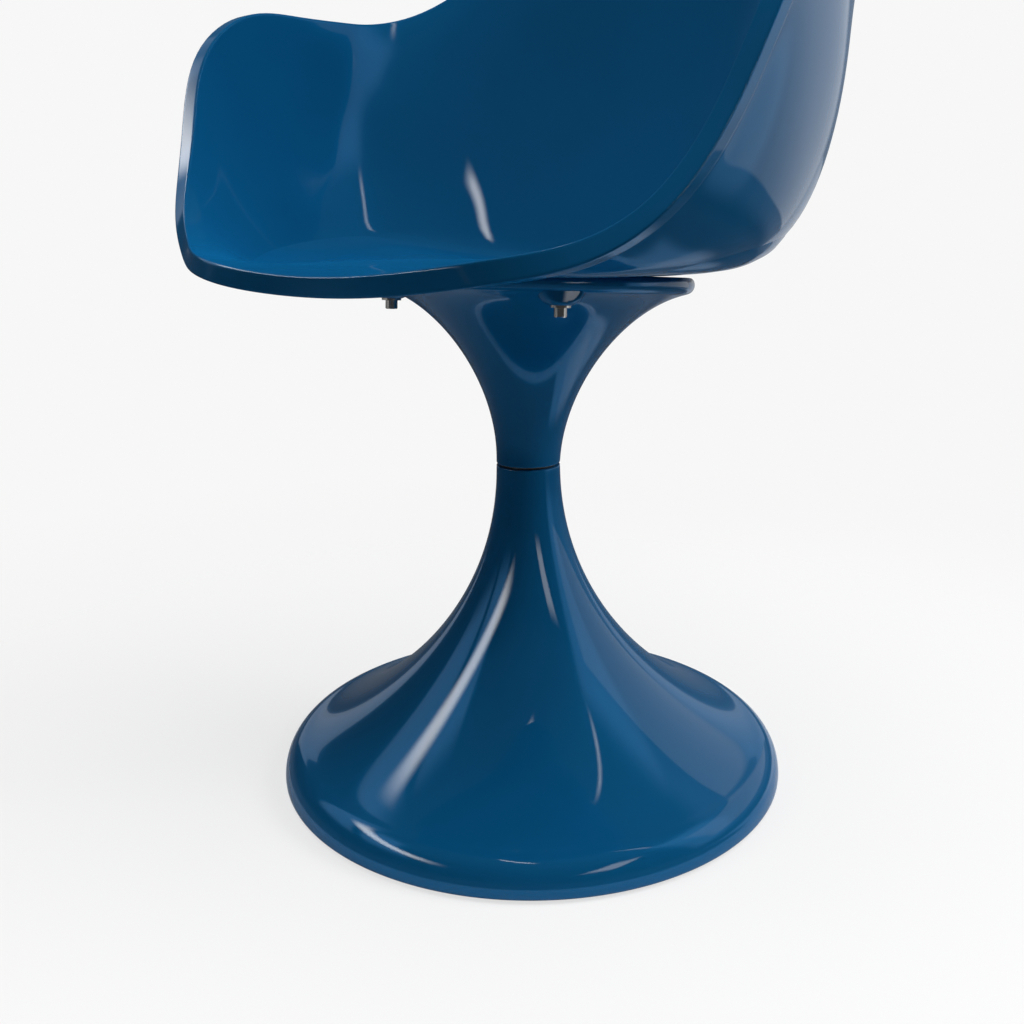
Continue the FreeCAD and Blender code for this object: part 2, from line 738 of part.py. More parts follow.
def make_seat_screw(place):
    """A socket head screw from under a boss up into its insert."""
    seat = -BOSS_DROP - WASHER_THICKNESS
    head_bottom = seat - SCREW_HEAD_HEIGHT
    chamfered = SCREW_HEAD_RADIUS - SCREW_HEAD_CHAMFER
    screw = turned_polygon(
        [
            (0, head_bottom),
            (chamfered, head_bottom),
            (SCREW_HEAD_RADIUS, head_bottom + SCREW_HEAD_CHAMFER),
            (SCREW_HEAD_RADIUS, seat),
            (SCREW_RADIUS, seat),
            (SCREW_RADIUS, SCREW_REACH),
            (0, SCREW_REACH),
        ]
    )
    screw = screw.cut(hexagon(SCREW_SOCKET_FLATS, head_bottom, head_bottom + SCREW_SOCKET_DEPTH))
    screw.translate(place)
    return on_seat(screw)


def make_seat_washer(place):
    bottom = -BOSS_DROP - WASHER_THICKNESS
    return on_seat(ring(SCREW_HOLE_RADIUS, WASHER_RADIUS, bottom, -BOSS_DROP, place))


def make_seat_insert(place):
    """A threaded insert moulded into the seat's boss."""
    return on_seat(ring(SCREW_RADIUS, INSERT_RADIUS, 0, INSERT_LENGTH, place))


def level(share):
    """Height of a rim station over the flange."""
    if share < 0:
        return FRONT_DROP * share
    if share < 1.0:
        return ARM_RISE * share
    return ARM_RISE + (BACK_RISE - ARM_RISE) * (share - 1.0)


def reach(share, front, back):
    """A place along the seat, forwards for a share under zero."""
    return front * share if share < 0 else back * share


def rim_point(shares):
    across, along, up = shares
    return FreeCAD.Vector(
        SHELL_HALF_WIDTH * across,
        reach(along, SHELL_FRONT, SHELL_BACK),
        level(up),
    )


def heel_point(shares):
    across, along, up = shares
    return FreeCAD.Vector(
        HEEL_HALF_WIDTH * across,
        reach(along, HEEL_FRONT, HEEL_BACK),
        HEEL_RISE * up,
    )


def mirrored_ring(half):
    """A closed ring of columns from those of one side, which starts and ends on the middle."""
    other = [FreeCAD.Vector(-point.x, point.y, point.z) for point in reversed(half[1:-1])]
    return list(half) + other


def unit(vector):
    return vector * (1.0 / vector.Length)


def bow_share(station):
    """How much of the wall's bow a station has: none at the front, all of it by the back."""
    turn = min(1.0, station / BOW_FULL_SHARE)
    return (1.0 - cos(pi * turn)) / 2.0


def offset_corner(before, corner, after, ahead, thickness):
    """The corner of a column moved inwards so that both walls beside it keep their thickness."""
    first = unit((corner - before).cross(ahead))
    second = unit((after - corner).cross(ahead))
    return corner + (first + second) * (thickness / (1.0 + first.dot(second)))


def shell_columns():
    """For each station round the seat, the poles from the inner pan over the rim to the outer
    pan. The rim and the outer side come from the shares and the inner side from the wall."""
    last = len(RIM_SHARES) - 1
    rim = mirrored_ring([rim_point(shares) for shares in RIM_SHARES])
    heel = mirrored_ring([heel_point(shares) for shares in HEEL_SHARES])
    count = len(rim)
    columns = []
    for index in range(count):
        station = min(index, count - index) / last
        angle = FRONT_ANGLE + FULL_TURN * index / count
        ahead = unit(rim[(index + 1) % count] - rim[index - 1])
        outer_disc = polar(PAN_OUTER_RADIUS, angle)
        inner_disc = polar(PAN_INNER_RADIUS, angle, PAN_THICKNESS)
        outer_pan = outer_disc + (heel[index] - outer_disc) * PAN_EASE_SHARE
        outer_pan.z = PAN_LIFT
        bow_way = unit(FreeCAD.Vector(heel[index].x, heel[index].y, 0))
        rough_wall = heel[index] + (rim[index] - heel[index]) * WALL_POLE_SHARES[-1]
        rough_wall += bow_way * (WALL_BOW * bow_share(station) * BOW_POLE_SHARES[-1])
        outward = unit(ahead.cross(rim[index] - rough_wall))
        along = unit(outward.cross(ahead))
        half_width = outward * (RIM_WIDTH / 2.0)
        half_depth = along * (RIM_DEPTH / 2.0)
        outer_root = rim[index] + half_width * OUTER_WALL_SHARE - along * RIM_OUTER_ROOT
        inner_root = rim[index] - half_width - along * RIM_INNER_ROOT
        outer_wall = []
        for wall_share, bow in zip(WALL_POLE_SHARES, BOW_POLE_SHARES):
            pole = heel[index] + (outer_root - heel[index]) * wall_share
            outer_wall.append(pole + bow_way * (WALL_BOW * bow_share(station) * bow))
        outer_side = [outer_disc, outer_pan, heel[index]] + outer_wall + [outer_root]
        inner_side = [inner_disc]
        for before, corner, after in zip(outer_side, outer_side[1:], outer_side[2:]):
            inner_side.append(offset_corner(before, corner, after, ahead, SHELL_WALL))
        section = [
            rim[index] + half_width * across + half_depth * up
            for across, up in RIM_SECTION_SHARES
        ]
        columns.append(inner_side + [inner_root] + section + list(reversed(outer_side)))
    return columns


def shell_surface():
    """One smooth closed band over both sides of the seat, from inner pan to outer pan."""
    columns = shell_columns()
    rows = [[column[row] for column in columns] for row in range(len(columns[0]))]
    degree = 3
    spans = len(rows) - degree
    surface = Part.BSplineSurface()
    surface.buildFromPolesMultsKnots(
        rows,
        [degree + 1] + [1] * (spans - 1) + [degree + 1],
        [1] * (len(columns) + 1),
        list(range(spans + 1)),
        list(range(len(columns) + 1)),
        False,
        True,
        degree,
        degree,
    )
    return surface


def shell_blank():
    """The closed seat: the band and its two flat pan faces, before the screw bosses."""
    band = shell_surface().toShape()
    loops = [edge for edge in band.Edges if edge.isClosed() and not edge.isSeam(band)]
    pans = [Part.Face(Part.Wire(loop)) for loop in loops]
    joined = Part.makeShell([band] + pans)
    joined.sewShape()
    solid = Part.Solid(Part.Shell(joined.Faces))
    if solid.Volume < 0:
        solid.reverse()
    return solid


def make_seat_shell():
    """The moulded seat, with bosses down to the flange and pockets for the inserts."""
    shell = shell_blank()
    for place in screw_places():
        shell = shell.fuse(disc(PAD_RADIUS, 0, PAD_HEIGHT, place))
    for place in screw_places():
        shell = shell.cut(disc(INSERT_RADIUS, -OVERRUN, INSERT_LENGTH, place))
    return on_seat(shell)


def build_nodes():
    """Every piece of the chair by name."""
    nodes = {
        "base_shell": make_base_shell(),
        "base_plate": make_base_plate(),
        "ballast_ring": make_ballast_ring(),
        "foot_ring": make_foot_ring(),
        "post_tube": make_post_tube(),
        "top_bush": make_top_bush(),
        "low_bush": make_low_bush(),
        "lower_race": make_thrust_washer(0),
        "slip_washer": make_thrust_washer(1),
        "upper_race": make_thrust_washer(2),
        "spindle": make_spindle(),
        "retaining_washer": make_retaining_washer(),
        "spindle_clip": make_clip(),
        "hub": make_hub(),
        "hub_pin": make_hub_pin(),
        "mounting_plate": make_mounting_plate(),
        "seat_support": make_seat_support(),
        "seat_shell": make_seat_shell(),
    }
    for number, angle in enumerate(around(LUG_COUNT), 1):
        nodes[f"base_screw_{number}"] = make_base_screw(angle)
    for number, angle in enumerate(around(GUSSET_COUNT, DIAGONAL), 1):
        nodes[f"post_gusset_{number}"] = make_gusset(angle)
    for number, angle in enumerate(around(RIB_COUNT, DIAGONAL), 1):
        nodes[f"hub_rib_{number}"] = make_rib(angle)
    for number, place in enumerate(screw_places(), 1):
        nodes[f"seat_screw_{number}"] = make_seat_screw(place)
        nodes[f"seat_washer_{number}"] = make_seat_washer(place)
        nodes[f"seat_insert_{number}"] = make_seat_insert(place)
    return nodes


def main():
    os.makedirs("parts", exist_ok=True)
    for name, shape in build_nodes().items():
        solid = shape.removeSplitter() if name != "seat_shell" else shape
        print(f"{name}: {len(solid.Solids)} solid, {solid.Volume / 1000.0:.1f} cm3, valid {solid.isValid()}")
        solid.exportStep(f"parts/{name}.step")


main()
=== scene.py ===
"""A bare moulded swivel armchair on a two part trumpet pedestal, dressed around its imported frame.

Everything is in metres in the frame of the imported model: +Z up, the front of the seat towards
-Y, and the origin on the floor on the swivel axis.
"""

import json
import logging
import math
from dataclasses import dataclass, field
from enum import Enum
from typing import Sequence

import bmesh
import bpy
from bmesh.types import BMEdge, BMesh, BMVert
from bpy.types import ID, Material, Mesh, Node, NodeSocket, NodeTree, Object
from mathutils import Matrix, Vector


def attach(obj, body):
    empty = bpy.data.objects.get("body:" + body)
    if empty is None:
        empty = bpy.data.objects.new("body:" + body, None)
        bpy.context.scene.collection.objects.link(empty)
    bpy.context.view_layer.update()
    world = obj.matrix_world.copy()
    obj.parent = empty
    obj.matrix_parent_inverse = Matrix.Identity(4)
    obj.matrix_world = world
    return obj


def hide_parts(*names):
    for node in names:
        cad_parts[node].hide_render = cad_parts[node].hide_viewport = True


logging.basicConfig(level=logging.INFO, format="%(message)s")
LOG = logging.getLogger("armchair")

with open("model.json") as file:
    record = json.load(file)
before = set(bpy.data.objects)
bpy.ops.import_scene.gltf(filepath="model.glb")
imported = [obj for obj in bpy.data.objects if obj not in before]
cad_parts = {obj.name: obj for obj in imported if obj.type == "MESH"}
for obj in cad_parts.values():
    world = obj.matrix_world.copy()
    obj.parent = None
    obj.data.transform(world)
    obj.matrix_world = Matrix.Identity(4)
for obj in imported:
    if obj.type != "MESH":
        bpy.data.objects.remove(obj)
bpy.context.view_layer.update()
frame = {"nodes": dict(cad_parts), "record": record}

MM = 0.001
UP = Vector((0.0, 0.0, 1.0))
ACROSS = Vector((1.0, 0.0, 0.0))
FULL_TURN = 2.0 * math.pi

# Vertices closer than this are one
WELD = 1e-6

# The colour inputs and output of a mix node, whose names its other sockets share
MIX_COLOURS = (6, 7)
MIX_RESULT = 2


class Body(Enum):
    """The two bodies of the chair that the swivel joins."""

    PEDESTAL = "pedestal"
    SEAT = "seat"


class Slot(Enum):
    """The record's material slots."""

    LACQUER = "lacquer"
    BLACK_STEEL = "black_steel"
    BRIGHT_STEEL = "bright_steel"
    SCREW_STEEL = "screw_steel"
    NYLON = "nylon"
    RUBBER = "rubber"
    CAST_IRON = "cast_iron"
    BRASS = "brass"


def linear(hex_colour: str) -> tuple[float, float, float, float]:
    """Turn an sRGB hex colour into the linear colour that a shader reads.

    Args:
        hex_colour: Six hex digits, such as "1A5276".

    Returns:
        Red, green, blue and an alpha of one, all linear.
    """
    channels = [int(hex_colour[start:start + 2], 16) / 255.0 for start in (0, 2, 4)]
    curved = [c / 12.92 if c <= 0.04045 else ((c + 0.055) / 1.055) ** 2.4 for c in channels]
    return (curved[0], curved[1], curved[2], 1.0)


def add_node(
    tree: NodeTree,
    kind: str,
    settings: dict[str, object] | None = None,
    links: dict[str, NodeSocket] | None = None,
) -> Node:
    """Add a shader node, set it up and join its inputs.

    Args:
        tree: The node tree that takes the node.
        kind: The node's type, such as "ShaderNodeBsdfPrincipled".
        settings: Attributes of the node, or values of inputs with that name.
        links: Output sockets for the inputs with that name.

    Returns:
        The new node.
    """
    node = tree.nodes.new(kind)
    for name, value in (settings or {}).items():
        if name.isdigit():
            node.inputs[int(name)].default_value = value
        elif name in node.inputs:
            node.inputs[name].default_value = value
        else:
            setattr(node, name, value)
    for name, socket in (links or {}).items():
        key = int(name) if name.isdigit() else name
        tree.links.new(socket, node.inputs[key])
    return node


def new_material(name: str) -> tuple[Material, NodeTree]:
    """Make an empty node material.

    Args:
        name: The material's name.

    Returns:
        The material and its node tree.
    """
    material = bpy.data.materials.new(name)
    material.use_nodes = True
    material.node_tree.nodes.clear()
    return material, material.node_tree


def finish_surface(tree: NodeTree, shader: Node) -> None:
    """Join a shader's first output to the material's output."""
    add_node(tree, "ShaderNodeOutputMaterial", links={"Surface": shader.outputs[0]})


def object_place(tree: NodeTree) -> NodeSocket:
    """The shaded place in Object coordinates."""
    return add_node(tree, "ShaderNodeTexCoord").outputs["Object"]


def object_noise(tree: NodeTree, grain: float, detail: float) -> NodeSocket:
    """A noise on Object coordinates whose grains have a real size.

    Args:
        tree: The material's node tree.
        grain: The size of one grain in metres.
        detail: How many finer layers the noise has.

    Returns:
        The noise, from 0 to 1.
    """
    settings = {"Scale": 1.0 / grain, "Detail": detail}
    noise = add_node(tree, "ShaderNodeTexNoise", settings, {"Vector": object_place(tree)})
    return noise.outputs["Fac"]


def calculated(tree: NodeTree, operation: str, *terms: float | NodeSocket) -> NodeSocket:
    """Calculate with a math node.

    Args:
        tree: The node tree.
        operation: What the node does, such as "MULTIPLY".
        terms: Its inputs in order, each a number or a node's output.

    Returns:
        The result.
    """
    node = add_node(tree, "ShaderNodeMath", {"operation": operation})
    for place, term in zip(node.inputs, terms):
        if isinstance(term, NodeSocket):
            tree.links.new(term, place)
        else:
            place.default_value = term
    return node.outputs["Value"]


def length(tree: NodeTree, place: NodeSocket) -> NodeSocket:
    """How far a place is from the origin of its coordinates."""
    node = add_node(tree, "ShaderNodeVectorMath", {"operation": "LENGTH"}, {"0": place})
    return node.outputs["Value"]


def eased(tree: NodeTree, value: NodeSocket, start: float, end: float) -> NodeSocket:
    """A soft step, which is 0 where the value is at its start and 1 at its end."""
    settings = {"interpolation_type": "SMOOTHSTEP", "From Min": start, "From Max": end}
    return add_node(tree, "ShaderNodeMapRange", settings, {"Value": value}).outputs["Result"]


def spread(tree: NodeTree, noise: NodeSocket, low: float, high: float) -> NodeSocket:
    """A value between two others, by a noise."""
    settings = {"To Min": low, "To Max": high}
    return add_node(tree, "ShaderNodeMapRange", settings, {"Value": noise}).outputs["Result"]


def blended(tree: NodeTree, noise: NodeSocket, colours: tuple[str, str]) -> NodeSocket:
    """Blend two colours by a noise.

    Args:
        tree: The node tree.
        noise: The noise, from 0 to 1.
        colours: The hex colours at 0 and at 1.

    Returns:
        The colour.
    """
    mix = add_node(tree, "ShaderNodeMix", {"data_type": "RGBA"}, {"0": noise})
    for place, colour in zip(MIX_COLOURS, colours):
        mix.inputs[place].default_value = linear(colour)
    return mix.outputs[MIX_RESULT]


def bumped(tree: NodeTree, noise: NodeSocket, height: float, strength: float) -> NodeSocket:
    """A surface normal that a noise bends, with bumps of a height in metres."""
    settings = {"Strength": strength, "Distance": height}
    return add_node(tree, "ShaderNodeBump", settings, {"Height": noise}).outputs["Normal"]


def mixed(tree: NodeTree, share: NodeSocket, first: Node, second: Node) -> Node:
    """A mix of two shaders, by the second one's share."""
    links = {"0": share, "1": first.outputs[0], "2": second.outputs[0]}
    return add_node(tree, "ShaderNodeMixShader", links=links)


@dataclass(frozen=True)
class PolishedGelcoat:
    """Petrol blue pigmented gelcoat on glass fibre, sprayed in the mould, buffed and lacquered.

    The eye sees a deep even colour under a hard clear gloss. The pigment drifts a little from
    place to place, and the fine peel and the buffing haze show only close up.
    """

    name: str = "polished_gelcoat"
    colour: str = "0B5B8C"
    deep_colour: str = "0B5786"
    drift_grain: float = 60.0 * MM
    metallic: float = 0.35
    ior: float = 1.5
    roughness: float = 0.13
    haze: float = 0.02
    haze_grain: float = 8.8 * MM
    peel_grain: float = 2.2 * MM
    peel_height: float = 0.001 * MM
    coat: float = 0.3

    def build(self) -> Material:
        """Make the lacquer's material."""
        material, tree = new_material(self.name)
        drift = object_noise(tree, self.drift_grain, detail=3.0)
        haze = object_noise(tree, self.haze_grain, detail=4.0)
        peel = object_noise(tree, self.peel_grain, detail=1.0)
        skin = bumped(tree, peel, self.peel_height, strength=1.0)
        shader = add_node(
            tree,
            "ShaderNodeBsdfPrincipled",
            {
                "IOR": self.ior,
                "Metallic": self.metallic,
                "Specular IOR Level": 0.0,
                "Coat Weight": self.coat,
                "Coat Roughness": 0.0,
                "Coat IOR": self.ior,
            },
            {
                "Base Color": blended(tree, drift, (self.deep_colour, self.colour)),
                "Roughness": spread(
                    tree, haze, self.roughness - self.haze, self.roughness + self.haze
                ),
                "Normal": skin,
                "Coat Normal": skin,
            },
        )
        finish_surface(tree, shader)
        return material


@dataclass(frozen=True)
class TurnedMetal:
    """A metal turned on a lathe: fine rings round the axis and a bright, slightly hazy glint.

    At a scale of one, the rings' texture has waves of unit_wave.
    """

    name: str
    colour: str
    roughness: float = 0.24
    rough_shares: tuple[float, float] = (0.7, 1.4)
    ring_pitch: float = 0.25 * MM
    ring_height: float = 0.006 * MM
    unit_wave: float = 0.31
    wander: float = 0.4
    streak_pitches: float = 6.0

    def build(self) -> Material:
        """Make the metal's material."""
        material, tree = new_material(self.name)
        rings = add_node(
            tree,
            "ShaderNodeTexWave",
            {
                "wave_type": "BANDS",
                "bands_direction": "Z",
                "Scale": self.unit_wave / self.ring_pitch,
                "Distortion": self.wander,
                "Detail": 2.0,
            },
            {"Vector": object_place(tree)},
        )
        streak = object_noise(tree, self.ring_pitch * self.streak_pitches, detail=3.0)
        low, high = (self.roughness * share for share in self.rough_shares)
        shader = add_node(
            tree,
            "ShaderNodeBsdfPrincipled",
            {"Base Color": linear(self.colour), "Metallic": 1.0},
            {
                "Roughness": spread(tree, streak, low, high),
                "Normal": bumped(tree, rings.outputs["Fac"], self.ring_height, strength=0.5),
            },
        )
        finish_surface(tree, shader)
        return material


@dataclass(frozen=True)
class DullFinish:
    """What the dull finishes share: two tones in soft clouds, and a fine grain of bumps."""

    name: str
    colour: str
    cloud_colour: str
    roughness: float
    grain: float
    height: float
    strength: float
    grain_detail: float
    cloud_grains: float
    cloud_detail: float
    metallic: float = 0.0

    def build(self) -> Material:
        """Make the finish's material."""
        material, tree = new_material(self.name)
        cloud = object_noise(tree, self.grain * self.cloud_grains, self.cloud_detail)
        grain = object_noise(tree, self.grain, self.grain_detail)
        shader = add_node(
            tree,
            "ShaderNodeBsdfPrincipled",
            {"Roughness": self.roughness, "Metallic": self.metallic},
            {
                "Base Color": blended(tree, cloud, (self.colour, self.cloud_colour)),
                "Normal": bumped(tree, grain, self.height, self.strength),
            },
        )
        finish_surface(tree, shader)
        return material


@dataclass(frozen=True)
class StovedPaint(DullFinish):
    """Satin black paint, sprayed and stoved on welded steel: even, with a fine dry texture."""

    name: str = "stoved_paint"
    colour: str = "141416"
    cloud_colour: str = "202023"
    roughness: float = 0.42
    grain: float = 0.9 * MM
    height: float = 0.02 * MM
    strength: float = 0.6
    grain_detail: float = 2.0
    cloud_grains: float = 30.0
    cloud_detail: float = 4.0


@dataclass(frozen=True)
class MouldedPolymer(DullFinish):
    """A dull moulded polymer, nylon or rubber, with a fine spark eroded mould texture."""

    grain: float = 0.7 * MM
    height: float = 0.03 * MM
    strength: float = 0.7
    grain_detail: float = 3.0
    cloud_grains: float = 12.0
    cloud_detail: float = 3.0


@dataclass(frozen=True)
class SandCastIron(DullFinish):
    """Grey iron cast in sand and primed: dark, dull and pebbled."""

    name: str = "sand_cast_iron"
    colour: str = "2B2C2E"
    cloud_colour: str = "3A332E"
    roughness: float = 0.6
    grain: float = 1.4 * MM
    height: float = 0.25 * MM
    strength: float = 0.8
    grain_detail: float = 4.0
    cloud_grains: float = 10.0
    cloud_detail: float = 5.0
    metallic: float = 0.3


# Which finish each slot of the record has
SLOT_FINISHES: dict[Slot, PolishedGelcoat | TurnedMetal | DullFinish] = {
    Slot.LACQUER: PolishedGelcoat(),
    Slot.BLACK_STEEL: StovedPaint(),
    Slot.BRIGHT_STEEL: TurnedMetal("ground_steel", "A9ABAD"),
    Slot.SCREW_STEEL: TurnedMetal("stainless_steel", "C9C8C5", 0.2),
    Slot.NYLON: MouldedPolymer("moulded_nylon", "D9D5C7", "C9C4B2", 0.45),
    Slot.RUBBER: MouldedPolymer("moulded_rubber", "161616", "222222", 0.7),
    Slot.CAST_IRON: SandCastIron(),
    Slot.BRASS: TurnedMetal("turned_brass", "B8924A", 0.3),
}


@dataclass
class Finishes:
    """Every finish on the chair, made once and shared."""

    materials: dict[Slot, Material] = field(
        default_factory=lambda: {slot: finish.build() for slot, finish in SLOT_FINISHES.items()}
    )

    def of(self, slot: Slot) -> Material:
        """The material of a slot."""
        return self.materials[slot]


def mesh_of(name: str, shape: BMesh) -> Mesh:
    """Turn a bmesh into a mesh.

    Args:
        name: The mesh's name.
        shape: The bmesh, which is freed.

    Returns:
        The mesh.
    """
    mesh = bpy.data.meshes.new(name)
    shape.to_mesh(mesh)
    shape.free()
    return mesh


def placed(name: str, data: ID) -> Object:
    """Make an object and put it in the scene.

    Args:
        name: The object's name.
        data: Its mesh, light or camera.

    Returns:
        The object.
    """
    made = bpy.data.objects.new(name, data)
    bpy.context.scene.collection.objects.link(made)
    return made


def extruded_verts(shape: BMesh, edges: Sequence[BMEdge]) -> list[BMVert]:
    """Extrude edges and return their new vertices."""
    made = bmesh.ops.extrude_edge_only(shape, edges=edges)["geom"]
    return [item for item in made if isinstance(item, BMVert)]


def finished_piece(
    name: str,
    shape: BMesh,
    finishes: Finishes,
    body: Body,
    slot: Slot,
    subdivisions: int = 0,
) -> Object:
    """Turn a bmesh into a smooth piece that rides on a body.

    Args:
        name: The piece's name.
        shape: The bmesh, which is freed.
        finishes: The chair's finishes.
        body: The body that carries it.
        slot: The record's slot that it takes its finish from.
        subdivisions: Levels of subdivision surface, which are made part of the mesh.

    Returns:
        The new object.
    """
    mesh = mesh_of(name, shape)
    mesh.materials.append(finishes.of(slot))
    for polygon in mesh.polygons:
        polygon.use_smooth = True
    piece = placed(name, mesh)
    if subdivisions:
        smoother = piece.modifiers.new("smooth", "SUBSURF")
        smoother.levels = subdivisions
        smoother.render_levels = subdivisions
        smoothed = piece.evaluated_get(bpy.context.evaluated_depsgraph_get())
        piece.data = bpy.data.meshes.new_from_object(smoothed)
        piece.modifiers.clear()
    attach(piece, body.value)
    return piece


def rz(radius: float, height: float) -> Vector:
    """A point of a turned profile."""
    return Vector((radius, 0.0, height))


def heading(degrees: float) -> Vector:
    """A unit vector of the XZ plane at this angle above +X."""
    return rz(math.cos(math.radians(degrees)), math.sin(math.radians(degrees)))


class Profile:
    """The outline of a turned piece, drawn point by point in the XZ plane."""

    def __init__(self, start: Vector) -> None:
        """Begin the outline at a point."""
        self.points: list[Vector] = [start]

    def line_to(self, end: Vector, pieces: int = 1) -> None:
        """Add a straight stretch, cut into equal pieces."""
        start = self.points[-1]
        self.points += [start.lerp(end, step / pieces) for step in range(1, pieces + 1)]

    def curve_to(self, first: Vector, second: Vector, end: Vector, pieces: int) -> None:
        """Add a cubic curve.

        Args:
            first: The handle of the curve's start.
            second: The handle of its end.
            end: Its last point.
            pieces: How many pieces it is cut into.
        """
        start = self.points[-1]
        for step in range(1, pieces + 1):
            t = step / pieces
            a = start.lerp(first, t)
            b = first.lerp(second, t)
            c = second.lerp(end, t)
            self.points.append(a.lerp(b, t).lerp(b.lerp(c, t), t))

    def spun(self, steps: int, closed: bool = True) -> BMesh:
        """Spin the outline a full turn about the upright axis.

        Args:
            steps: How many faces go round.
            closed: Whether the outline's end joins its start.

        Returns:
            The turned mesh, with its faces outwards.
        """
        shape = bmesh.new()
        corners = [shape.verts.new(point) for point in self.points]
        edges = [shape.edges.new(pair) for pair in zip(corners, corners[1:])]
        if closed:
            edges.append(shape.edges.new((corners[-1], corners[0])))
        bmesh.ops.spin(
            shape,
            geom=corners + edges,
            cent=(0.0, 0.0, 0.0),
            axis=UP,
            angle=FULL_TURN,
            steps=steps,
            use_merge=True,
        )
        bmesh.ops.remove_doubles(shape, verts=shape.verts[:], dist=WELD)
        bmesh.ops.recalc_face_normals(shape, faces=shape.faces[:])
        return shape


# How long the handles of a rounding are, as a share of its width or height
ROUND_SHARE = 0.55

# Where the seat's screws stand round the flange
SCREW_ANGLES = (-135.0, -45.0, 90.0)
SCREW_CIRCLE = 118.0 * MM

# How many faces go round a trumpet, and round the small pieces at the screws
TRUMPET_STEPS = 128
SMALL_STEPS = 48


def move_to_screw(shape: BMesh, angle: float) -> None:
    """Move a shape from the flange's middle to one of its screws.

    Args:
        shape: The shape.
        angle: Where the screw stands round the flange, in degrees.
    """
    bmesh.ops.translate(shape, verts=shape.verts[:], vec=(SCREW_CIRCLE, 0.0, 0.0))
    turn = Matrix.Rotation(math.radians(angle), 3, "Z")
    bmesh.ops.rotate(shape, verts=shape.verts[:], cent=(0.0, 0.0, 0.0), matrix=turn)


@dataclass
class LowerTrumpet:
    """The standing half of the pedestal: the moulded trumpet over its steel and iron."""

    finishes: Finishes
    base_radius: float = 225.0 * MM
    neck_radius: float = 27.5 * MM
    neck_top: float = 280.0 * MM
    wall: float = 5.0 * MM
    floor_gap: float = 1.5 * MM
    lip_round: float = 5.0 * MM
    lip_height: float = 32.4 * MM
    lip_width: float = 19.2 * MM
    lip_slope: float = 11.5
    foot_handle: float = 26.5 * MM
    neck_handle: float = 162.0 * MM

    def profile(self) -> Profile:
        """The trumpet's closed outline, from the outer foot over the flare and back inside."""
        way = heading(180.0 - self.lip_slope)
        outer_top = rz(self.base_radius - self.lip_width, self.lip_height)
        inner_top = outer_top + Vector((-way.z, 0.0, way.x)) * self.wall
        lip_bottom = self.floor_gap + self.lip_round
        outer_foot = rz(self.base_radius, lip_bottom)
        inner_foot = rz(self.base_radius - 2.0 * self.lip_round, lip_bottom)
        lowest = rz(self.base_radius - self.lip_round, self.floor_gap)
        neck_outer = rz(self.neck_radius, self.neck_top)
        neck_inner = rz(self.neck_radius - self.wall, self.neck_top)
        rise = UP * ((outer_top.z - outer_foot.z) * ROUND_SHARE)
        inner_rise = UP * ((inner_top.z - inner_foot.z) * ROUND_SHARE)
        lip_run = way * (self.lip_width * ROUND_SHARE)
        inner_run = way * ((inner_foot.x - inner_top.x) * ROUND_SHARE)
        round_rise = UP * (self.lip_round * ROUND_SHARE)
        round_run = ACROSS * (self.lip_round * ROUND_SHARE)
        foot_run = way * self.foot_handle
        neck_rise = UP * self.neck_handle
        shrink = (inner_top.x - neck_inner.x) / (outer_top.x - neck_outer.x)
        inner_foot_run = way * (self.foot_handle * shrink)
        inner_neck_rise = UP * (self.neck_handle * shrink)
        outline = Profile(outer_foot)
        outline.curve_to(outer_foot + rise, outer_top - lip_run, outer_top, pieces=12)
        outline.curve_to(outer_top + foot_run, neck_outer - neck_rise, neck_outer, pieces=40)
        outline.line_to(neck_inner, pieces=2)
        outline.curve_to(
            neck_inner - inner_neck_rise, inner_top + inner_foot_run, inner_top, pieces=30
        )
        outline.curve_to(inner_top - inner_run, inner_foot + inner_rise, inner_foot, pieces=8)
        outline.curve_to(inner_foot - round_rise, lowest - round_run, lowest, pieces=5)
        outline.curve_to(lowest + round_run, outer_foot - round_rise, outer_foot, pieces=5)
        outline.points.pop()
        return outline

    def build(self) -> Object:
        """Make the trumpet and stand it in for its CAD node."""
        shape = self.profile().spun(TRUMPET_STEPS)
        crease_ring(shape, self.neck_top)
        piece = finished_piece(
            "lower_trumpet", shape, self.finishes, Body.PEDESTAL, Slot.LACQUER, subdivisions=1
        )
        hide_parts("base_shell")
        return piece


# Which edges count as sharp and as level with a neck's end, and how wide their bevel is
SHARP_ANGLE = math.radians(30.0)
LEVEL_SLACK = 1e-5
BEVEL_WIDTH = 0.6 * MM


def crease_ring(shape: BMesh, height: float) -> None:
    """Bevel the sharp edges at one height, such as the corners of a neck.

    Args:
        shape: The mesh.
        height: The height of the edges.
    """
    sharp = [
        edge
        for edge in shape.edges
        if all(abs(vert.co.z - height) < LEVEL_SLACK for vert in edge.verts)
        and edge.calc_face_angle(0.0) > SHARP_ANGLE
    ]
    bmesh.ops.bevel(
        shape,
        geom=sharp,
        offset=BEVEL_WIDTH,
        offset_type="OFFSET",
        affect="EDGES",
        segments=3,
        profile=0.5,
        material=-1,
    )


@dataclass
class RakedSeat:
    """The place of the flange's own axes: the seat leans back from the upright axis."""

    rise: float = 159.4 * MM
    rake: float = 3.8
    seam_middle: float = 281.2 * MM

    def matrix(self) -> Matrix:
        """The move from the flange's axes to the chair's."""
        angle = math.radians(self.rake)
        place = Vector(
            (0.0, self.rise * math.sin(angle), self.seam_middle + self.rise * math.cos(angle))
        )
        return Matrix.Translation(place) @ Matrix.Rotation(-angle, 4, "X")

    def lean(self, shape: BMesh) -> None:
        """Move a shape from the flange's axes to the chair's."""
        bmesh.ops.transform(shape, matrix=self.matrix(), verts=shape.verts[:])


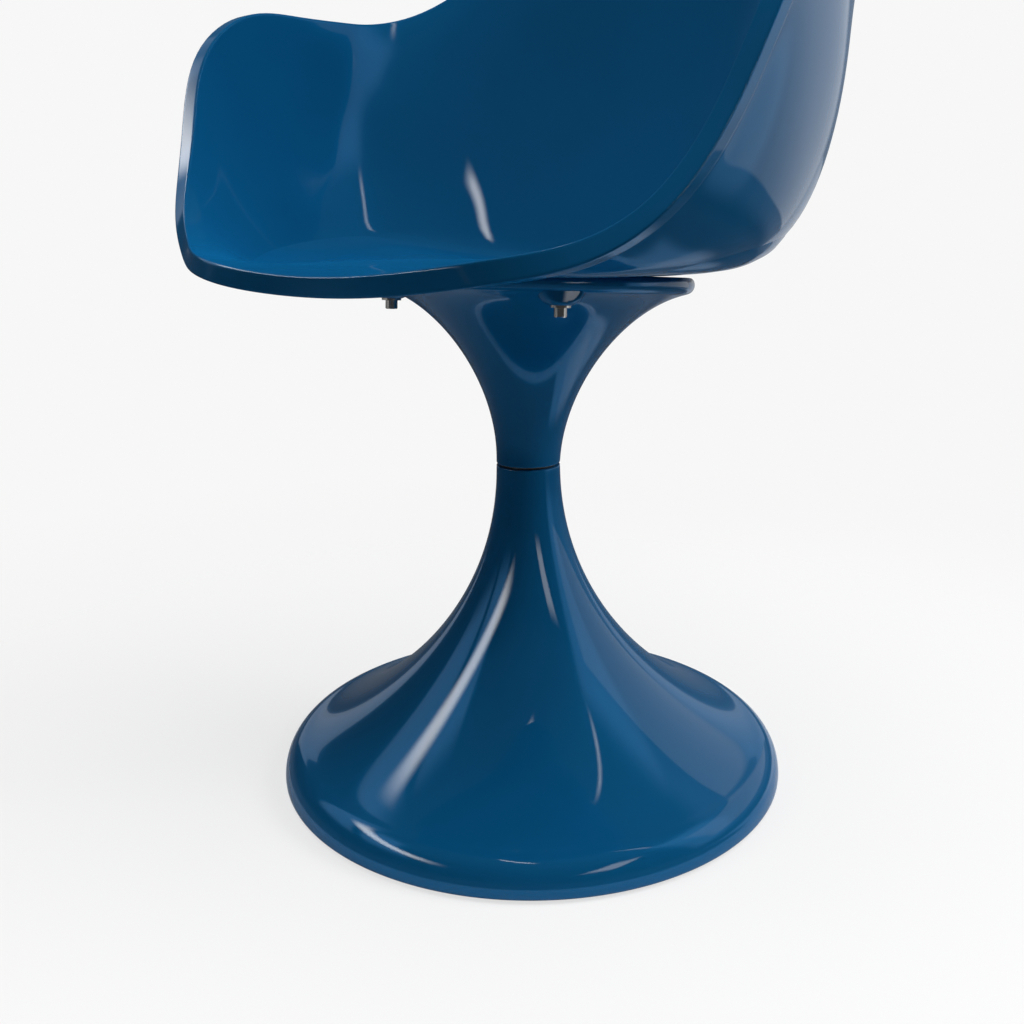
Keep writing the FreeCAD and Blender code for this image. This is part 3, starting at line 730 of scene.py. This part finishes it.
@dataclass
class UpperTrumpet:
    """The turning half of the pedestal: a raked bell with a bull nosed flange and bosses."""

    finishes: Finishes
    seat: RakedSeat
    neck_radius: float = 27.5 * MM
    neck_bottom: float = 282.4 * MM
    wall: float = 5.0 * MM
    flange_radius: float = 133.0 * MM
    nose: float = 4.5 * MM
    nose_drop: float = 6.0 * MM
    lip: float = 13.4 * MM
    lip_inset: float = 6.0 * MM
    slope: float = 14.0
    neck_handle: float = 66.0 * MM
    flange_handle: float = 52.0 * MM
    mount_radius: float = 125.3 * MM
    mount_thickness: float = 5.0 * MM
    seat_inset: float = 21.0 * MM
    seat_slope: float = 47.0
    inner_neck_handle: float = 74.0 * MM
    inner_seat_handle: float = 26.0 * MM
    overlap: float = 6.0 * MM
    boss_drop: float = 22.5 * MM
    boss_flat: float = 8.5 * MM
    boss_brim: float = 19.0 * MM
    boss_brim_drop: float = 9.0 * MM
    boss_bulge: float = 2.6 * MM
    boss_fullness: float = 1.3
    boss_handles: tuple[float, float] = (0.3, 0.7)
    boss_edge: float = 1.5 * MM
    boss_edge_share: float = 0.2

    def profile(self) -> Profile:
        """The bell's closed outline on the flange's own axes."""
        foot = -self.seat.rise - self.overlap
        neck_top = rz(self.neck_radius, -self.seat.rise)
        inner_radius = self.neck_radius - self.wall
        inner_top = rz(inner_radius, -self.seat.rise)
        lip_root = rz(self.flange_radius - self.lip_inset, -self.lip)
        nose = rz(self.flange_radius, -self.nose_drop)
        lip_top = rz(self.flange_radius - self.nose, 0.0)
        seat_edge = rz(self.mount_radius - self.seat_inset, -self.mount_thickness)
        under = heading(self.slope)
        neck_rise = UP * self.neck_handle
        flange_run = under * self.flange_handle
        lip_run = under * (self.lip_inset * ROUND_SHARE)
        lip_rise = UP * ((nose.z - lip_root.z) * ROUND_SHARE)
        nose_rise = UP * (self.nose_drop * ROUND_SHARE)
        nose_run = ACROSS * (self.nose * ROUND_SHARE)
        seat_run = heading(self.seat_slope) * self.inner_seat_handle
        inner_rise = UP * self.inner_neck_handle
        outline = Profile(rz(self.neck_radius, foot))
        outline.line_to(neck_top, pieces=2)
        outline.curve_to(neck_top + neck_rise, lip_root - flange_run, lip_root, pieces=32)
        outline.curve_to(lip_root + lip_run, nose - lip_rise, nose, pieces=6)
        outline.curve_to(nose + nose_rise, lip_top + nose_run, lip_top, pieces=6)
        outline.line_to(rz(self.mount_radius, 0.0))
        outline.line_to(rz(self.mount_radius, -self.mount_thickness), pieces=2)
        outline.line_to(seat_edge, pieces=3)
        outline.curve_to(seat_edge - seat_run, inner_top + inner_rise, inner_top, pieces=24)
        outline.line_to(rz(inner_radius, foot), pieces=2)
        return outline

    def boss(self, angle: float) -> BMesh:
        """One bowl shaped boss at this angle round the flange, on the flange's own axes.

        Args:
            angle: Where it stands, in degrees.

        Returns:
            The boss.
        """
        flat = rz(self.boss_flat, -self.boss_drop)
        brim = rz(self.boss_brim, -self.boss_brim_drop)
        chord = brim - flat
        outward = Vector((chord.z, 0.0, -chord.x)).normalized()
        first, second = (
            flat + chord * share + outward * self.boss_bulge * self.boss_fullness
            for share in self.boss_handles
        )
        outline = Profile(rz(0.0, -self.boss_drop))
        outline.line_to(rz(flat.x - self.boss_edge, flat.z))
        outline.curve_to(flat, flat, flat + (first - flat) * self.boss_edge_share, pieces=4)
        outline.curve_to(first, second, brim, pieces=10)
        shape = outline.spun(SMALL_STEPS, closed=False)
        move_to_screw(shape, angle)
        limit = self.flange_radius - self.lip_inset / 2.0
        for vert in shape.verts:
            reach = math.hypot(vert.co.x, vert.co.y)
            if reach > limit:
                vert.co.x *= limit / reach
                vert.co.y *= limit / reach
        return shape

    def build(self) -> Object:
        """Make the bell and its bosses and stand them in for the CAD node."""
        shape = self.profile().spun(TRUMPET_STEPS)
        self.seat.lean(shape)
        cut = bmesh.ops.bisect_plane(
            shape,
            geom=shape.verts[:] + shape.edges[:] + shape.faces[:],
            plane_co=UP * self.neck_bottom,
            plane_no=-UP,
            clear_outer=True,
        )
        rim = [item for item in cut["geom_cut"] if isinstance(item, BMEdge)]
        bmesh.ops.bridge_loops(shape, edges=rim)
        bmesh.ops.recalc_face_normals(shape, faces=shape.faces[:])
        crease_ring(shape, self.neck_bottom)
        piece = finished_piece(
            "upper_trumpet", shape, self.finishes, Body.SEAT, Slot.LACQUER, subdivisions=1
        )
        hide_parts("seat_support")
        for number, angle in enumerate(SCREW_ANGLES, 1):
            boss = self.boss(angle)
            self.seat.lean(boss)
            finished_piece(f"flange_boss_{number}", boss, self.finishes, Body.SEAT, Slot.LACQUER)
        return piece


# Poles of the rim on one side, from the middle of the front to the middle of the back, as
# shares: across by the half width, along by the front or back reach, and the level, which runs
# from -1 at the front lip through 0 at the flange and 1 at the arms to 2 at the top of the back
RIM_SHARES: tuple[tuple[float, float, float], ...] = (
    (0.000, -0.992, -1.000),
    (0.307, -1.000, -0.700),
    (0.525, -0.955, -0.080),
    (0.701, -0.829, 0.036),
    (0.858, -0.736, 0.176),
    (0.939, -0.614, 0.450),
    (1.000, -0.541, 0.780),
    (0.996, -0.337, 0.977),
    (0.981, -0.102, 0.986),
    (0.935, 0.110, 1.003),
    (0.907, 0.268, 1.014),
    (0.790, 0.600, 1.165),
    (0.450, 0.915, 1.740),
    (0.000, 1.000, 2.000),
)

# Poles of the heel, where the pan turns up into the wall, over the same stations: across by the
# heel's half width, along by its front or back reach, and up by its rise
HEEL_SHARES: tuple[tuple[float, float, float], ...] = (
    (0.000, -1.000, -0.15),
    (0.274, -0.955, -0.20),
    (0.500, -0.884, -0.20),
    (0.695, -0.772, -0.25),
    (0.845, -0.634, -0.20),
    (0.947, -0.464, -0.10),
    (1.000, -0.277, 0.10),
    (0.991, -0.080, 0.55),
    (0.938, 0.140, 1.00),
    (0.880, 0.320, 1.00),
    (0.715, 0.615, 0.75),
    (0.520, 0.820, 0.50),
    (0.235, 0.971, 0.35),
    (0.000, 1.000, 0.25),
)

# Section of the rolled rim, from the inner wall over the rim to the outer wall: across as shares
# of half the rim's width and along the wall as shares of half its depth
RIM_SECTION_SHARES: tuple[tuple[float, float], ...] = (
    (-1.0, 0.0),
    (-1.0, 1.0),
    (-0.35, 1.0),
    (0.40, 1.0),
    (1.0, 1.0),
    (1.0, 0.0),
    (1.0, -1.0),
    (0.30, -1.0),
)

# Keeps the vertex at the very front first when a ring is sorted by turn
TURN_SLACK = 1e-4


@dataclass
class SeatShell:
    """The moulded seat, arms and back in one skin with a rolled rim, as a smooth cage."""

    finishes: Finishes
    seat: RakedSeat
    half_width: float = 260.8 * MM
    front: float = 245.5 * MM
    back: float = 219.6 * MM
    arm_rise: float = 219.0 * MM
    back_rise: float = 392.0 * MM
    front_drop: float = 13.0 * MM
    wall: float = 5.0 * MM
    pan_thickness: float = 10.0 * MM
    pan_outer_radius: float = 95.0 * MM
    pan_inner_radius: float = 84.0 * MM
    pan_lift: float = 2.0 * MM
    pan_ease: float = 0.4
    heel_half_width: float = 226.0 * MM
    heel_front: float = 224.0 * MM
    heel_back: float = 139.0 * MM
    heel_rise: float = 20.0 * MM
    wall_bow: float = 18.0 * MM
    bow_full: float = 0.8
    bow_lean: float = 2.2
    wall_poles: tuple[float, ...] = (0.33, 0.70)
    bow_poles: tuple[float, ...] = (1.0, 0.8)
    rim_width: float = 15.0 * MM
    rim_depth: float = 11.0 * MM
    rim_inner_root: float = 9.0 * MM
    rim_outer_root: float = 14.0 * MM

    # The cage's rows run from the inner pan, row 0, over the inner heel, 2, the inner wall and
    # its root, 3 to 5, and the rim's section, 6 to 13, down the outer side. The corner is the
    # station where each arm folds into the back.
    corner_station: int = 10
    corner_rows: tuple[int, ...] = (3, 4, 5)
    corner_crease: float = 0.25
    bead_rows: tuple[int, ...] = tuple(range(6, 14))
    bead_crease: float = 0.34
    heel_row: int = 2
    heel_crease: float = 0.38
    fan_share: float = 0.5
    pad_radius: float = 13.0 * MM
    pad_height: float = 5.0 * MM
    pad_edge: float = 0.8 * MM
    pad_flare: float = 2.5 * MM

    def level(self, share: float) -> float:
        """Height of a rim station over the flange.

        Args:
            share: The station's level, as in RIM_SHARES.

        Returns:
            Its height.
        """
        if share < 0.0:
            return self.front_drop * share
        if share < 1.0:
            return self.arm_rise * share
        return self.arm_rise + (self.back_rise - self.arm_rise) * (share - 1.0)

    def rim_point(self, across: float, along: float, up: float) -> Vector:
        """The rim's pole from its shares."""
        reach = self.front if along < 0.0 else self.back
        return Vector((self.half_width * across, reach * along, self.level(up)))

    def heel_point(self, across: float, along: float, up: float) -> Vector:
        """The heel's pole from its shares."""
        reach = self.heel_front if along < 0.0 else self.heel_back
        return Vector((self.heel_half_width * across, reach * along, self.heel_rise * up))

    def bow_share(self, station: float) -> float:
        """How much of the wall's bow a station has, from the front, 0, to the back, 1."""
        turn = min(1.0, station / self.bow_full)
        return (1.0 - math.cos(math.pi * turn)) / 2.0

    @staticmethod
    def mirrored(half: Sequence[Vector]) -> list[Vector]:
        """A closed ring of stations from those of one side."""
        other = [Vector((-point.x, point.y, point.z)) for point in reversed(half[1:-1])]
        return list(half) + other

    @staticmethod
    def offset_corner(
        before: Vector, corner: Vector, after: Vector, ahead: Vector, thickness: float
    ) -> Vector:
        """Move a corner inwards so that both walls beside it keep their thickness.

        Args:
            before: The pole before the corner.
            corner: The corner.
            after: The pole after it.
            ahead: The direction round the seat.
            thickness: The wall's thickness.

        Returns:
            The corner's place on the inner side.
        """
        first = (corner - before).cross(ahead).normalized()
        second = (after - corner).cross(ahead).normalized()
        return corner + (first + second) * (thickness / (1.0 + first.dot(second)))

    def columns(self) -> list[list[Vector]]:
        """For each station, the poles from the inner pan over the rim to the outer pan."""
        rim = self.mirrored([self.rim_point(*shares) for shares in RIM_SHARES])
        heel = self.mirrored([self.heel_point(*shares) for shares in HEEL_SHARES])
        count = len(rim)
        last = len(RIM_SHARES) - 1
        outer_share = -1.0 + 2.0 * self.wall / self.rim_width
        columns = []
        for index in range(count):
            station = min(index, count - index) / last
            angle = FULL_TURN * index / count - math.pi / 2.0
            ray = Vector((math.cos(angle), math.sin(angle), 0.0))
            ahead = (rim[(index + 1) % count] - rim[index - 1]).normalized()
            outer_disc = ray * self.pan_outer_radius
            inner_disc = ray * self.pan_inner_radius + UP * self.pan_thickness
            outer_pan = outer_disc.lerp(heel[index], self.pan_ease)
            outer_pan.z = self.pan_lift
            bow_way = Vector((heel[index].x, heel[index].y * self.bow_lean, 0.0)).normalized()
            bow = bow_way * (self.wall_bow * self.bow_share(station))
            rough_wall = heel[index].lerp(rim[index], self.wall_poles[-1])
            rough_wall += bow * self.bow_poles[-1]
            outward = ahead.cross(rim[index] - rough_wall).normalized()
            along = outward.cross(ahead).normalized()
            half_across = outward * (self.rim_width / 2.0)
            half_deep = along * (self.rim_depth / 2.0)
            outer_root = rim[index] + half_across * outer_share - along * self.rim_outer_root
            inner_root = rim[index] - half_across - along * self.rim_inner_root
            outer_side = [outer_disc, outer_pan, heel[index]]
            for share, strength in zip(self.wall_poles, self.bow_poles):
                outer_side.append(heel[index].lerp(outer_root, share) + bow * strength)
            outer_side.append(outer_root)
            inner_side = [inner_disc]
            for before, corner, after in zip(outer_side, outer_side[1:], outer_side[2:]):
                inner_side.append(self.offset_corner(before, corner, after, ahead, self.wall))
            section = [
                rim[index] + half_across * across + half_deep * up
                for across, up in RIM_SECTION_SHARES
            ]
            columns.append(inner_side + [inner_root] + section + outer_side[::-1])
        return columns

    def fan_place(self, disc: Vector) -> Vector:
        """Where the ring inside the pan's disc stands, from which a fan closes the pan."""
        return Vector((disc.x * self.fan_share, disc.y * self.fan_share, disc.z))

    def cage(self) -> BMesh:
        """The closed cage: rings extruded one from the other, and the pan closed with fans."""
        columns = self.columns()
        count = len(columns)
        shape = bmesh.new()
        crease = shape.edges.layers.float.new("crease_edge")
        bmesh.ops.create_circle(shape, segments=count, radius=self.pan_inner_radius)
        first = sorted(shape.verts, key=lambda vert: self.turn_of(vert.co))
        for vert, column in zip(first, columns):
            vert.co = self.fan_place(column[0])
        lead, ring = first, self.ring_edges(first)
        for row in range(len(columns[0])):
            before = lead
            lead, ring = self.extruded(shape, ring, lead, [column[row] for column in columns])
            for edge in ring:
                edge[crease] = self.ring_crease(row)
            for station, ends in enumerate(zip(before, lead)):
                corner = min(station, count - station) == self.corner_station
                held = corner and row in self.corner_rows
                self.edge_between(*ends)[crease] = self.corner_crease if held else 0.0
        last = [self.fan_place(column[-1]) for column in columns]
        lead, _ = self.extruded(shape, ring, lead, last)
        for loop, height in ((first, self.pan_thickness), (lead, 0.0)):
            fresh = extruded_verts(shape, self.ring_edges(loop))
            for vert in fresh:
                vert.co = UP * height
            bmesh.ops.remove_doubles(shape, verts=fresh, dist=WELD)
        bmesh.ops.recalc_face_normals(shape, faces=shape.faces[:])
        return shape

    def ring_crease(self, row: int) -> float:
        """How sharply the skin bends over a ring of the cage.

        Args:
            row: The ring's row.

        Returns:
            The crease.
        """
        if row in self.bead_rows:
            return self.bead_crease
        return self.heel_crease if row == self.heel_row else 0.0

    @staticmethod
    def turn_of(place: Vector) -> float:
        """The angle of a place round the seat, from the front, in a full turn."""
        return (math.atan2(place.y, place.x) + math.pi / 2.0 + TURN_SLACK) % FULL_TURN

    @staticmethod
    def edge_between(first: BMVert, second: BMVert) -> BMEdge:
        """The edge that joins two neighbours."""
        return next(edge for edge in first.link_edges if edge.other_vert(first) is second)

    def ring_edges(self, verts: list[BMVert]) -> list[BMEdge]:
        """The edges that join a ring of vertices, in order."""
        return [self.edge_between(a, b) for a, b in zip(verts, verts[1:] + verts[:1])]

    def extruded(
        self, shape: BMesh, ring: list[BMEdge], lead: list[BMVert], places: list[Vector]
    ) -> tuple[list[BMVert], list[BMEdge]]:
        """Extrude a ring of edges and set the new ring's places.

        Args:
            shape: The mesh.
            ring: The edges to extrude.
            lead: Their vertices in order round the seat.
            places: Where the new vertices go, in the same order.

        Returns:
            The new vertices and the new edges, in order.
        """
        fresh = set(extruded_verts(shape, ring))
        verts = [
            next(other for edge in vert.link_edges if (other := edge.other_vert(vert)) in fresh)
            for vert in lead
        ]
        for vert, place in zip(verts, places):
            vert.co = place
        return verts, self.ring_edges(verts)

    def pad(self, angle: float) -> BMesh:
        """One round pad under the shell that carries it on the flange, over its screw.

        Args:
            angle: Where it stands, in degrees.

        Returns:
            The pad.
        """
        side = rz(self.pad_radius, self.pad_edge)
        top = rz(self.pad_radius + self.pad_flare, self.pad_height)
        middle = rz(self.pad_radius, self.pad_height / 2.0)
        outline = Profile(rz(0.0, 0.0))
        outline.line_to(rz(self.pad_radius - self.pad_edge, 0.0))
        outline.curve_to(rz(self.pad_radius, 0.0), side, side, pieces=3)
        outline.curve_to(middle, middle, top, pieces=6)
        shape = outline.spun(SMALL_STEPS, closed=False)
        move_to_screw(shape, angle)
        return shape

    def build(self) -> Object:
        """Make the shell and its pads and stand them in for its CAD node."""
        shape = self.cage()
        self.seat.lean(shape)
        piece = finished_piece(
            "moulded_seat", shape, self.finishes, Body.SEAT, Slot.LACQUER, subdivisions=3
        )
        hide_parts("seat_shell")
        for number, angle in enumerate(SCREW_ANGLES, 1):
            pad = self.pad(angle)
            self.seat.lean(pad)
            finished_piece(f"seat_pad_{number}", pad, self.finishes, Body.SEAT, Slot.LACQUER)
        return piece


@dataclass(frozen=True)
class Panel:
    """A soft edged panel of light on the studio's tent.

    Turns are degrees round the tent's middle from the camera's side, positive to its right, and
    rises are degrees over the horizon there. The edges are this many degrees wide. A lean moves
    the panel's two sides by that many degrees for each degree of rise, and a tilt moves its
    bottom and top for each degree of turn. A glint shows in mirror sharp reflections alone.
    """

    turns: tuple[float, float]
    rises: tuple[float, float]
    strength: float
    turn_edge: float = 4.0
    rise_edge: float = 8.0
    leans: tuple[float, float] = (0.0, 0.0)
    tilt: float = 0.0
    glint: bool = False


@dataclass
class Tent:
    """The dark tent round the chair and its soft panels, which the lacquer mirrors.

    Its gaps let the pale surroundings show in the lacquer. It lights nothing itself. The panels
    are placed for the photograph's view.
    """

    azimuth: float
    radius: float = 1.0
    centre_height: float = 0.4
    floor_reach: float = 0.27
    cloth_rise: float = 1.0 * MM
    gap_turns: tuple[float, float] = (134.0, 156.0)
    gap_rises: tuple[float, float] = (-15.0, 5.0)
    glow: float = 0.05
    panels: tuple[Panel, ...] = (
        Panel((62.0, 168.0), (-16.0, 36.0), 0.32, 5.0, 8.0),
        Panel((64.0, 88.0), (-14.0, 36.0), 0.45, 6.0, 14.0, leans=(0.0, 0.5)),
        Panel((-180.0, 180.0), (26.0, 72.0), 0.06, 2.0, 6.0),
        Panel((62.0, 130.0), (-70.0, -38.0), 0.7, 8.0, 8.0),
        Panel((-180.0, 180.0), (-75.0, -20.0), 0.15, 8.0, 12.0),
        Panel((-102.0, -76.0), (4.0, 40.0), 0.9, 3.0, 12.0, leans=(-0.7, -0.7)),
        Panel((-70.0, -47.0), (4.0, 40.0), 0.9, 3.0, 12.0, leans=(-0.7, -0.7)),
        Panel((-180.0, 180.0), (70.0, 100.0), 0.12, 2.0, 14.0),
        Panel((-104.0, -44.0), (-9.0, -1.0), 27.0, 24.0, 6.0, tilt=-0.36, glint=True),
        Panel((18.0, 30.0), (1.0, 19.0), 11.0, 4.0, 8.0, leans=(0.9, 0.9), glint=True),
        Panel((50.5, 53.0), (41.0, 60.0), 12.0, 3.0, 9.0, leans=(0.385, 0.385), glint=True),
        Panel((-28.0, 0.0), (53.5, 56.5), 27.0, 12.0, 3.0, tilt=-0.39, glint=True),
        Panel((84.0, 114.0), (-54.0, -36.0), 0.8, 8.0, 8.0, glint=True),
        Panel((74.0, 134.0), (-8.5, 24.0), 1.7, 6.0, 1.2, glint=True),
    )

    def mesh(self) -> Mesh:
        """A dome with its gaps, and a cloth on the floor round the chair."""
        shape = bmesh.new()
        bmesh.ops.create_uvsphere(shape, u_segments=180, v_segments=90, radius=self.radius)
        away = [face for face in shape.faces if self.is_open(face.calc_center_median())]
        bmesh.ops.delete(shape, geom=away, context="FACES")
        cloth = bmesh.ops.create_circle(shape, segments=72, radius=self.floor_reach)["verts"]
        low = self.cloth_rise - self.centre_height
        bmesh.ops.translate(shape, verts=cloth, vec=(0.0, 0.0, low))
        edges = list({edge for vert in cloth for edge in vert.link_edges})
        for vert in extruded_verts(shape, edges):
            way = Vector((vert.co.x, vert.co.y, 0.0)).normalized() * self.radius
            vert.co = Vector((way.x, way.y, low))
        return mesh_of("studio_tent", shape)

    def is_open(self, place: Vector) -> bool:
        """Whether the dome is open: under the floor, and in its gaps behind the chair.

        Args:
            place: A place on the dome, from its middle.

        Returns:
            Whether it is open there.
        """
        turn = abs(math.degrees(math.atan2(place.x, -place.y)))
        rise = math.degrees(math.asin(max(-1.0, min(1.0, place.z / self.radius))))
        in_turn = self.gap_turns[0] < turn < self.gap_turns[1]
        in_rise = self.gap_rises[0] < rise < self.gap_rises[1]
        return place.z < -self.centre_height or (in_turn and in_rise)

    @staticmethod
    def band(
        tree: NodeTree,
        angle: NodeSocket,
        other: NodeSocket,
        span: tuple[float, float],
        slants: tuple[float, float],
        edge: float,
    ) -> NodeSocket:
        """One within a span of degrees, falling softly to nothing at its edges.

        Args:
            tree: The node tree.
            angle: The angle in degrees.
            other: The other angle, which the edges may lean with.
            span: Where the band begins and ends.
            slants: How far each edge moves for each degree of the other angle.
            edge: How wide the edges are.

        Returns:
            The band's strength.
        """
        sides = []
        for middle, slant, half in zip(span, slants, (edge / 2.0, -edge / 2.0)):
            straight = calculated(tree, "MULTIPLY_ADD", other, -slant, angle)
            sides.append(eased(tree, straight, middle - half, middle + half))
        return calculated(tree, "MULTIPLY", *sides)

    @staticmethod
    def angles(tree: NodeTree) -> tuple[NodeSocket, NodeSocket]:
        """The turn and the rise of a place on the tent, in degrees.

        Args:
            tree: The node tree.

        Returns:
            The two angles.
        """
        place = object_place(tree)
        axes = add_node(tree, "ShaderNodeSeparateXYZ", links={"0": place})
        front = calculated(tree, "MULTIPLY", axes.outputs["Y"], -1.0)
        turn = calculated(tree, "ARCTAN2", axes.outputs["X"], front)
        lift = calculated(tree, "DIVIDE", axes.outputs["Z"], length(tree, place))
        rise = calculated(tree, "ARCSINE", lift)
        return calculated(tree, "DEGREES", turn), calculated(tree, "DEGREES", rise)

    def material(self) -> Material:
        """The tent's cloth: a dim glow and the panels."""
        material, tree = new_material("studio_tent_cloth")
        turn, rise = self.angles(tree)
        sharp_ray = add_node(tree, "ShaderNodeLightPath").outputs["Is Singular Ray"]
        total = self.glow
        for panel in self.panels:
            tilts = (panel.tilt, panel.tilt)
            across = self.band(tree, turn, rise, panel.turns, panel.leans, panel.turn_edge)
            up = self.band(tree, rise, turn, panel.rises, tilts, panel.rise_edge)
            lit = calculated(tree, "MULTIPLY", across, up)
            if panel.glint:
                lit = calculated(tree, "MULTIPLY", lit, sharp_ray)
            total = calculated(tree, "MULTIPLY_ADD", lit, panel.strength, total)
        shine = add_node(tree, "ShaderNodeEmission", links={"Strength": total})
        finish_surface(tree, shine)
        return material

    def build(self) -> None:
        """Pitch the tent round the chair."""
        mesh = self.mesh()
        mesh.materials.append(self.material())
        tent = placed("studio_tent", mesh)
        tent.location = (0.0, 0.0, self.centre_height)
        tent.rotation_euler = (0.0, 0.0, math.radians(self.azimuth))
        tent.visible_camera = False
        tent.visible_diffuse = False
        tent.visible_shadow = False


@dataclass(frozen=True)
class SoftBox:
    """A square soft box that is turned towards the chair.

    It turns by degrees round the chair from the camera's side, positive to its right, and rises
    by degrees over the horizon. The size is its width and height, and the power is in watts.
    """

    name: str
    turn: float
    rise: float
    distance: float
    size: float
    power: float


@dataclass
class Studio:
    """The pale studio: floor, soft lights, surroundings and the camera of the photograph."""

    focal_pixels: float = 1050.0
    image_pixels: float = 1024.0
    sensor: float = 36.0
    axis_pixel: float = 530.0
    distance: float = 888.4 * MM
    height: float = 484.3 * MM
    pitch: float = 15.57
    azimuth: float = 35.6
    roll: float = 0.8
    clip: float = 10.0 * MM
    background: str = "F7F7F7"
    floor_colour: str = "F4F4F4"
    fill: float = 0.045
    shadow_share: float = 0.26
    floor_radius: float = 6.0
    fade_reach: tuple[float, float] = (0.3, 1.2)
    aim_height: float = 0.4
    boxes: tuple[SoftBox, ...] = (
        SoftBox("left_box", -80.0, 45.0, 2.4, 1.2, 16.0),
        SoftBox("right_box", 80.0, 38.0, 2.4, 1.4, 50.0),
        SoftBox("front_box", 5.0, 62.0, 2.4, 1.6, 7.0),
        SoftBox("top_box", 60.0, 84.0, 2.2, 1.8, 38.0),
    )

    def camera(self) -> None:
        """Make the camera that the photograph was taken with and make it the scene's."""
        turn = math.radians(self.azimuth)
        tilt = math.radians(self.pitch)
        right = Vector((math.cos(turn), math.sin(turn), 0.0))
        away = Vector((-math.sin(turn), math.cos(turn), 0.0))
        middle = self.image_pixels / 2.0
        yaw = math.atan((self.axis_pixel - middle) / self.focal_pixels * math.cos(tilt))
        ahead = away * math.cos(yaw) - right * math.sin(yaw)
        right = right * math.cos(yaw) + away * math.sin(yaw)
        look = ahead * math.cos(tilt) - UP * math.sin(tilt)
        down = -ahead * math.sin(tilt) - UP * math.cos(tilt)
        lean = math.radians(self.roll)
        leaning_right = right * math.cos(lean) + down * math.sin(lean)
        leaning_down = down * math.cos(lean) - right * math.sin(lean)
        data = bpy.data.cameras.new("photo_camera")
        data.sensor_width = self.sensor
        data.lens = self.sensor * self.focal_pixels / self.image_pixels
        data.clip_start = self.clip
        camera = placed("photo_camera", data)
        place = Vector((0.0, 0.0, self.height)) - away * self.distance
        turned = Matrix((leaning_right, -leaning_down, -look)).transposed().to_4x4()
        camera.matrix_world = Matrix.Translation(place) @ turned
        bpy.context.scene.camera = camera

    def lights(self) -> None:
        """Hang the soft boxes. The tent's panels stand for them in the lacquer."""
        target = UP * self.aim_height
        for box in self.boxes:
            data = bpy.data.lights.new(box.name, "AREA")
            data.shape = "SQUARE"
            data.size = box.size
            data.energy = box.power
            bearing = math.radians(self.azimuth + box.turn)
            lift = math.radians(box.rise)
            way = Vector((math.sin(bearing), -math.cos(bearing), math.tan(lift))).normalized()
            turned = way.to_track_quat("Z", "Y").to_matrix().to_4x4()
            lamp = placed(box.name, data)
            lamp.matrix_world = Matrix.Translation(target + way * box.distance) @ turned
            lamp.visible_glossy = False

    def surroundings(self) -> None:
        """Pale surroundings for the eye and for mirror rays, and a dimmer even fill of light."""
        world = bpy.data.worlds.new("studio")
        bpy.context.scene.world = world
        world.use_nodes = True
        tree = world.node_tree
        tree.nodes.clear()
        rays = add_node(tree, "ShaderNodeLightPath")
        seen = rays.outputs["Is Camera Ray"]
        for kind in ("Is Glossy Ray", "Is Transmission Ray"):
            seen = calculated(tree, "MAXIMUM", seen, rays.outputs[kind])
        shown = add_node(tree, "ShaderNodeBackground", {"Color": linear(self.background)})
        fill = add_node(tree, "ShaderNodeBackground", {"Strength": self.fill})
        mix = mixed(tree, seen, fill, shown)
        add_node(tree, "ShaderNodeOutputWorld", links={"Surface": mix.outputs[0]})

    def floor(self) -> None:
        """A pale floor that fades into the pale surroundings away from the chair."""
        shape = bmesh.new()
        bmesh.ops.create_circle(shape, cap_ends=True, segments=96, radius=self.floor_radius)
        mesh = mesh_of("studio_floor", shape)
        material, tree = new_material("matt_studio_floor")
        fade = eased(tree, length(tree, object_place(tree)), *self.fade_reach)
        camera_ray = add_node(tree, "ShaderNodeLightPath").outputs["Is Camera Ray"]
        seen = calculated(tree, "MULTIPLY", camera_ray, 1.0 - self.shadow_share)
        paint = add_node(tree, "ShaderNodeBsdfDiffuse", {"Color": linear(self.floor_colour)})
        sweep = add_node(tree, "ShaderNodeEmission", {"Color": linear(self.background)})
        clear = add_node(tree, "ShaderNodeBsdfTransparent")
        finish_surface(tree, mixed(tree, fade, mixed(tree, seen, paint, sweep), clear))
        mesh.materials.append(material)
        floor = placed("studio_floor", mesh)

    def build(self) -> None:
        """Make the whole studio."""
        bpy.context.scene.view_settings.view_transform = "Standard"
        self.camera()
        self.lights()
        self.surroundings()
        self.floor()
        Tent(self.azimuth).build()


def dress_frame(finishes: Finishes) -> None:
    """Give every CAD node the finish of its slot.

    Args:
        finishes: The chair's finishes.
    """
    slots = {entry["node"]: entry["material_slot"] for entry in frame["record"]["subparts"]}
    for name, node in frame["nodes"].items():
        material = finishes.of(Slot(slots[name]))
        if not node.material_slots:
            node.data.materials.append(material)
        for place in node.material_slots:
            place.material = material


def main() -> None:
    """Build the chair and its studio, piece by piece."""
    finishes = Finishes()
    dress_frame(finishes)
    seat = RakedSeat()
    LOG.info("lower trumpet: %s", LowerTrumpet(finishes).build().name)
    LOG.info("upper trumpet: %s", UpperTrumpet(finishes, seat).build().name)
    LOG.info("seat: %s", SeatShell(finishes, seat).build().name)
    Studio().build()


if __name__ == "__main__":
    main()
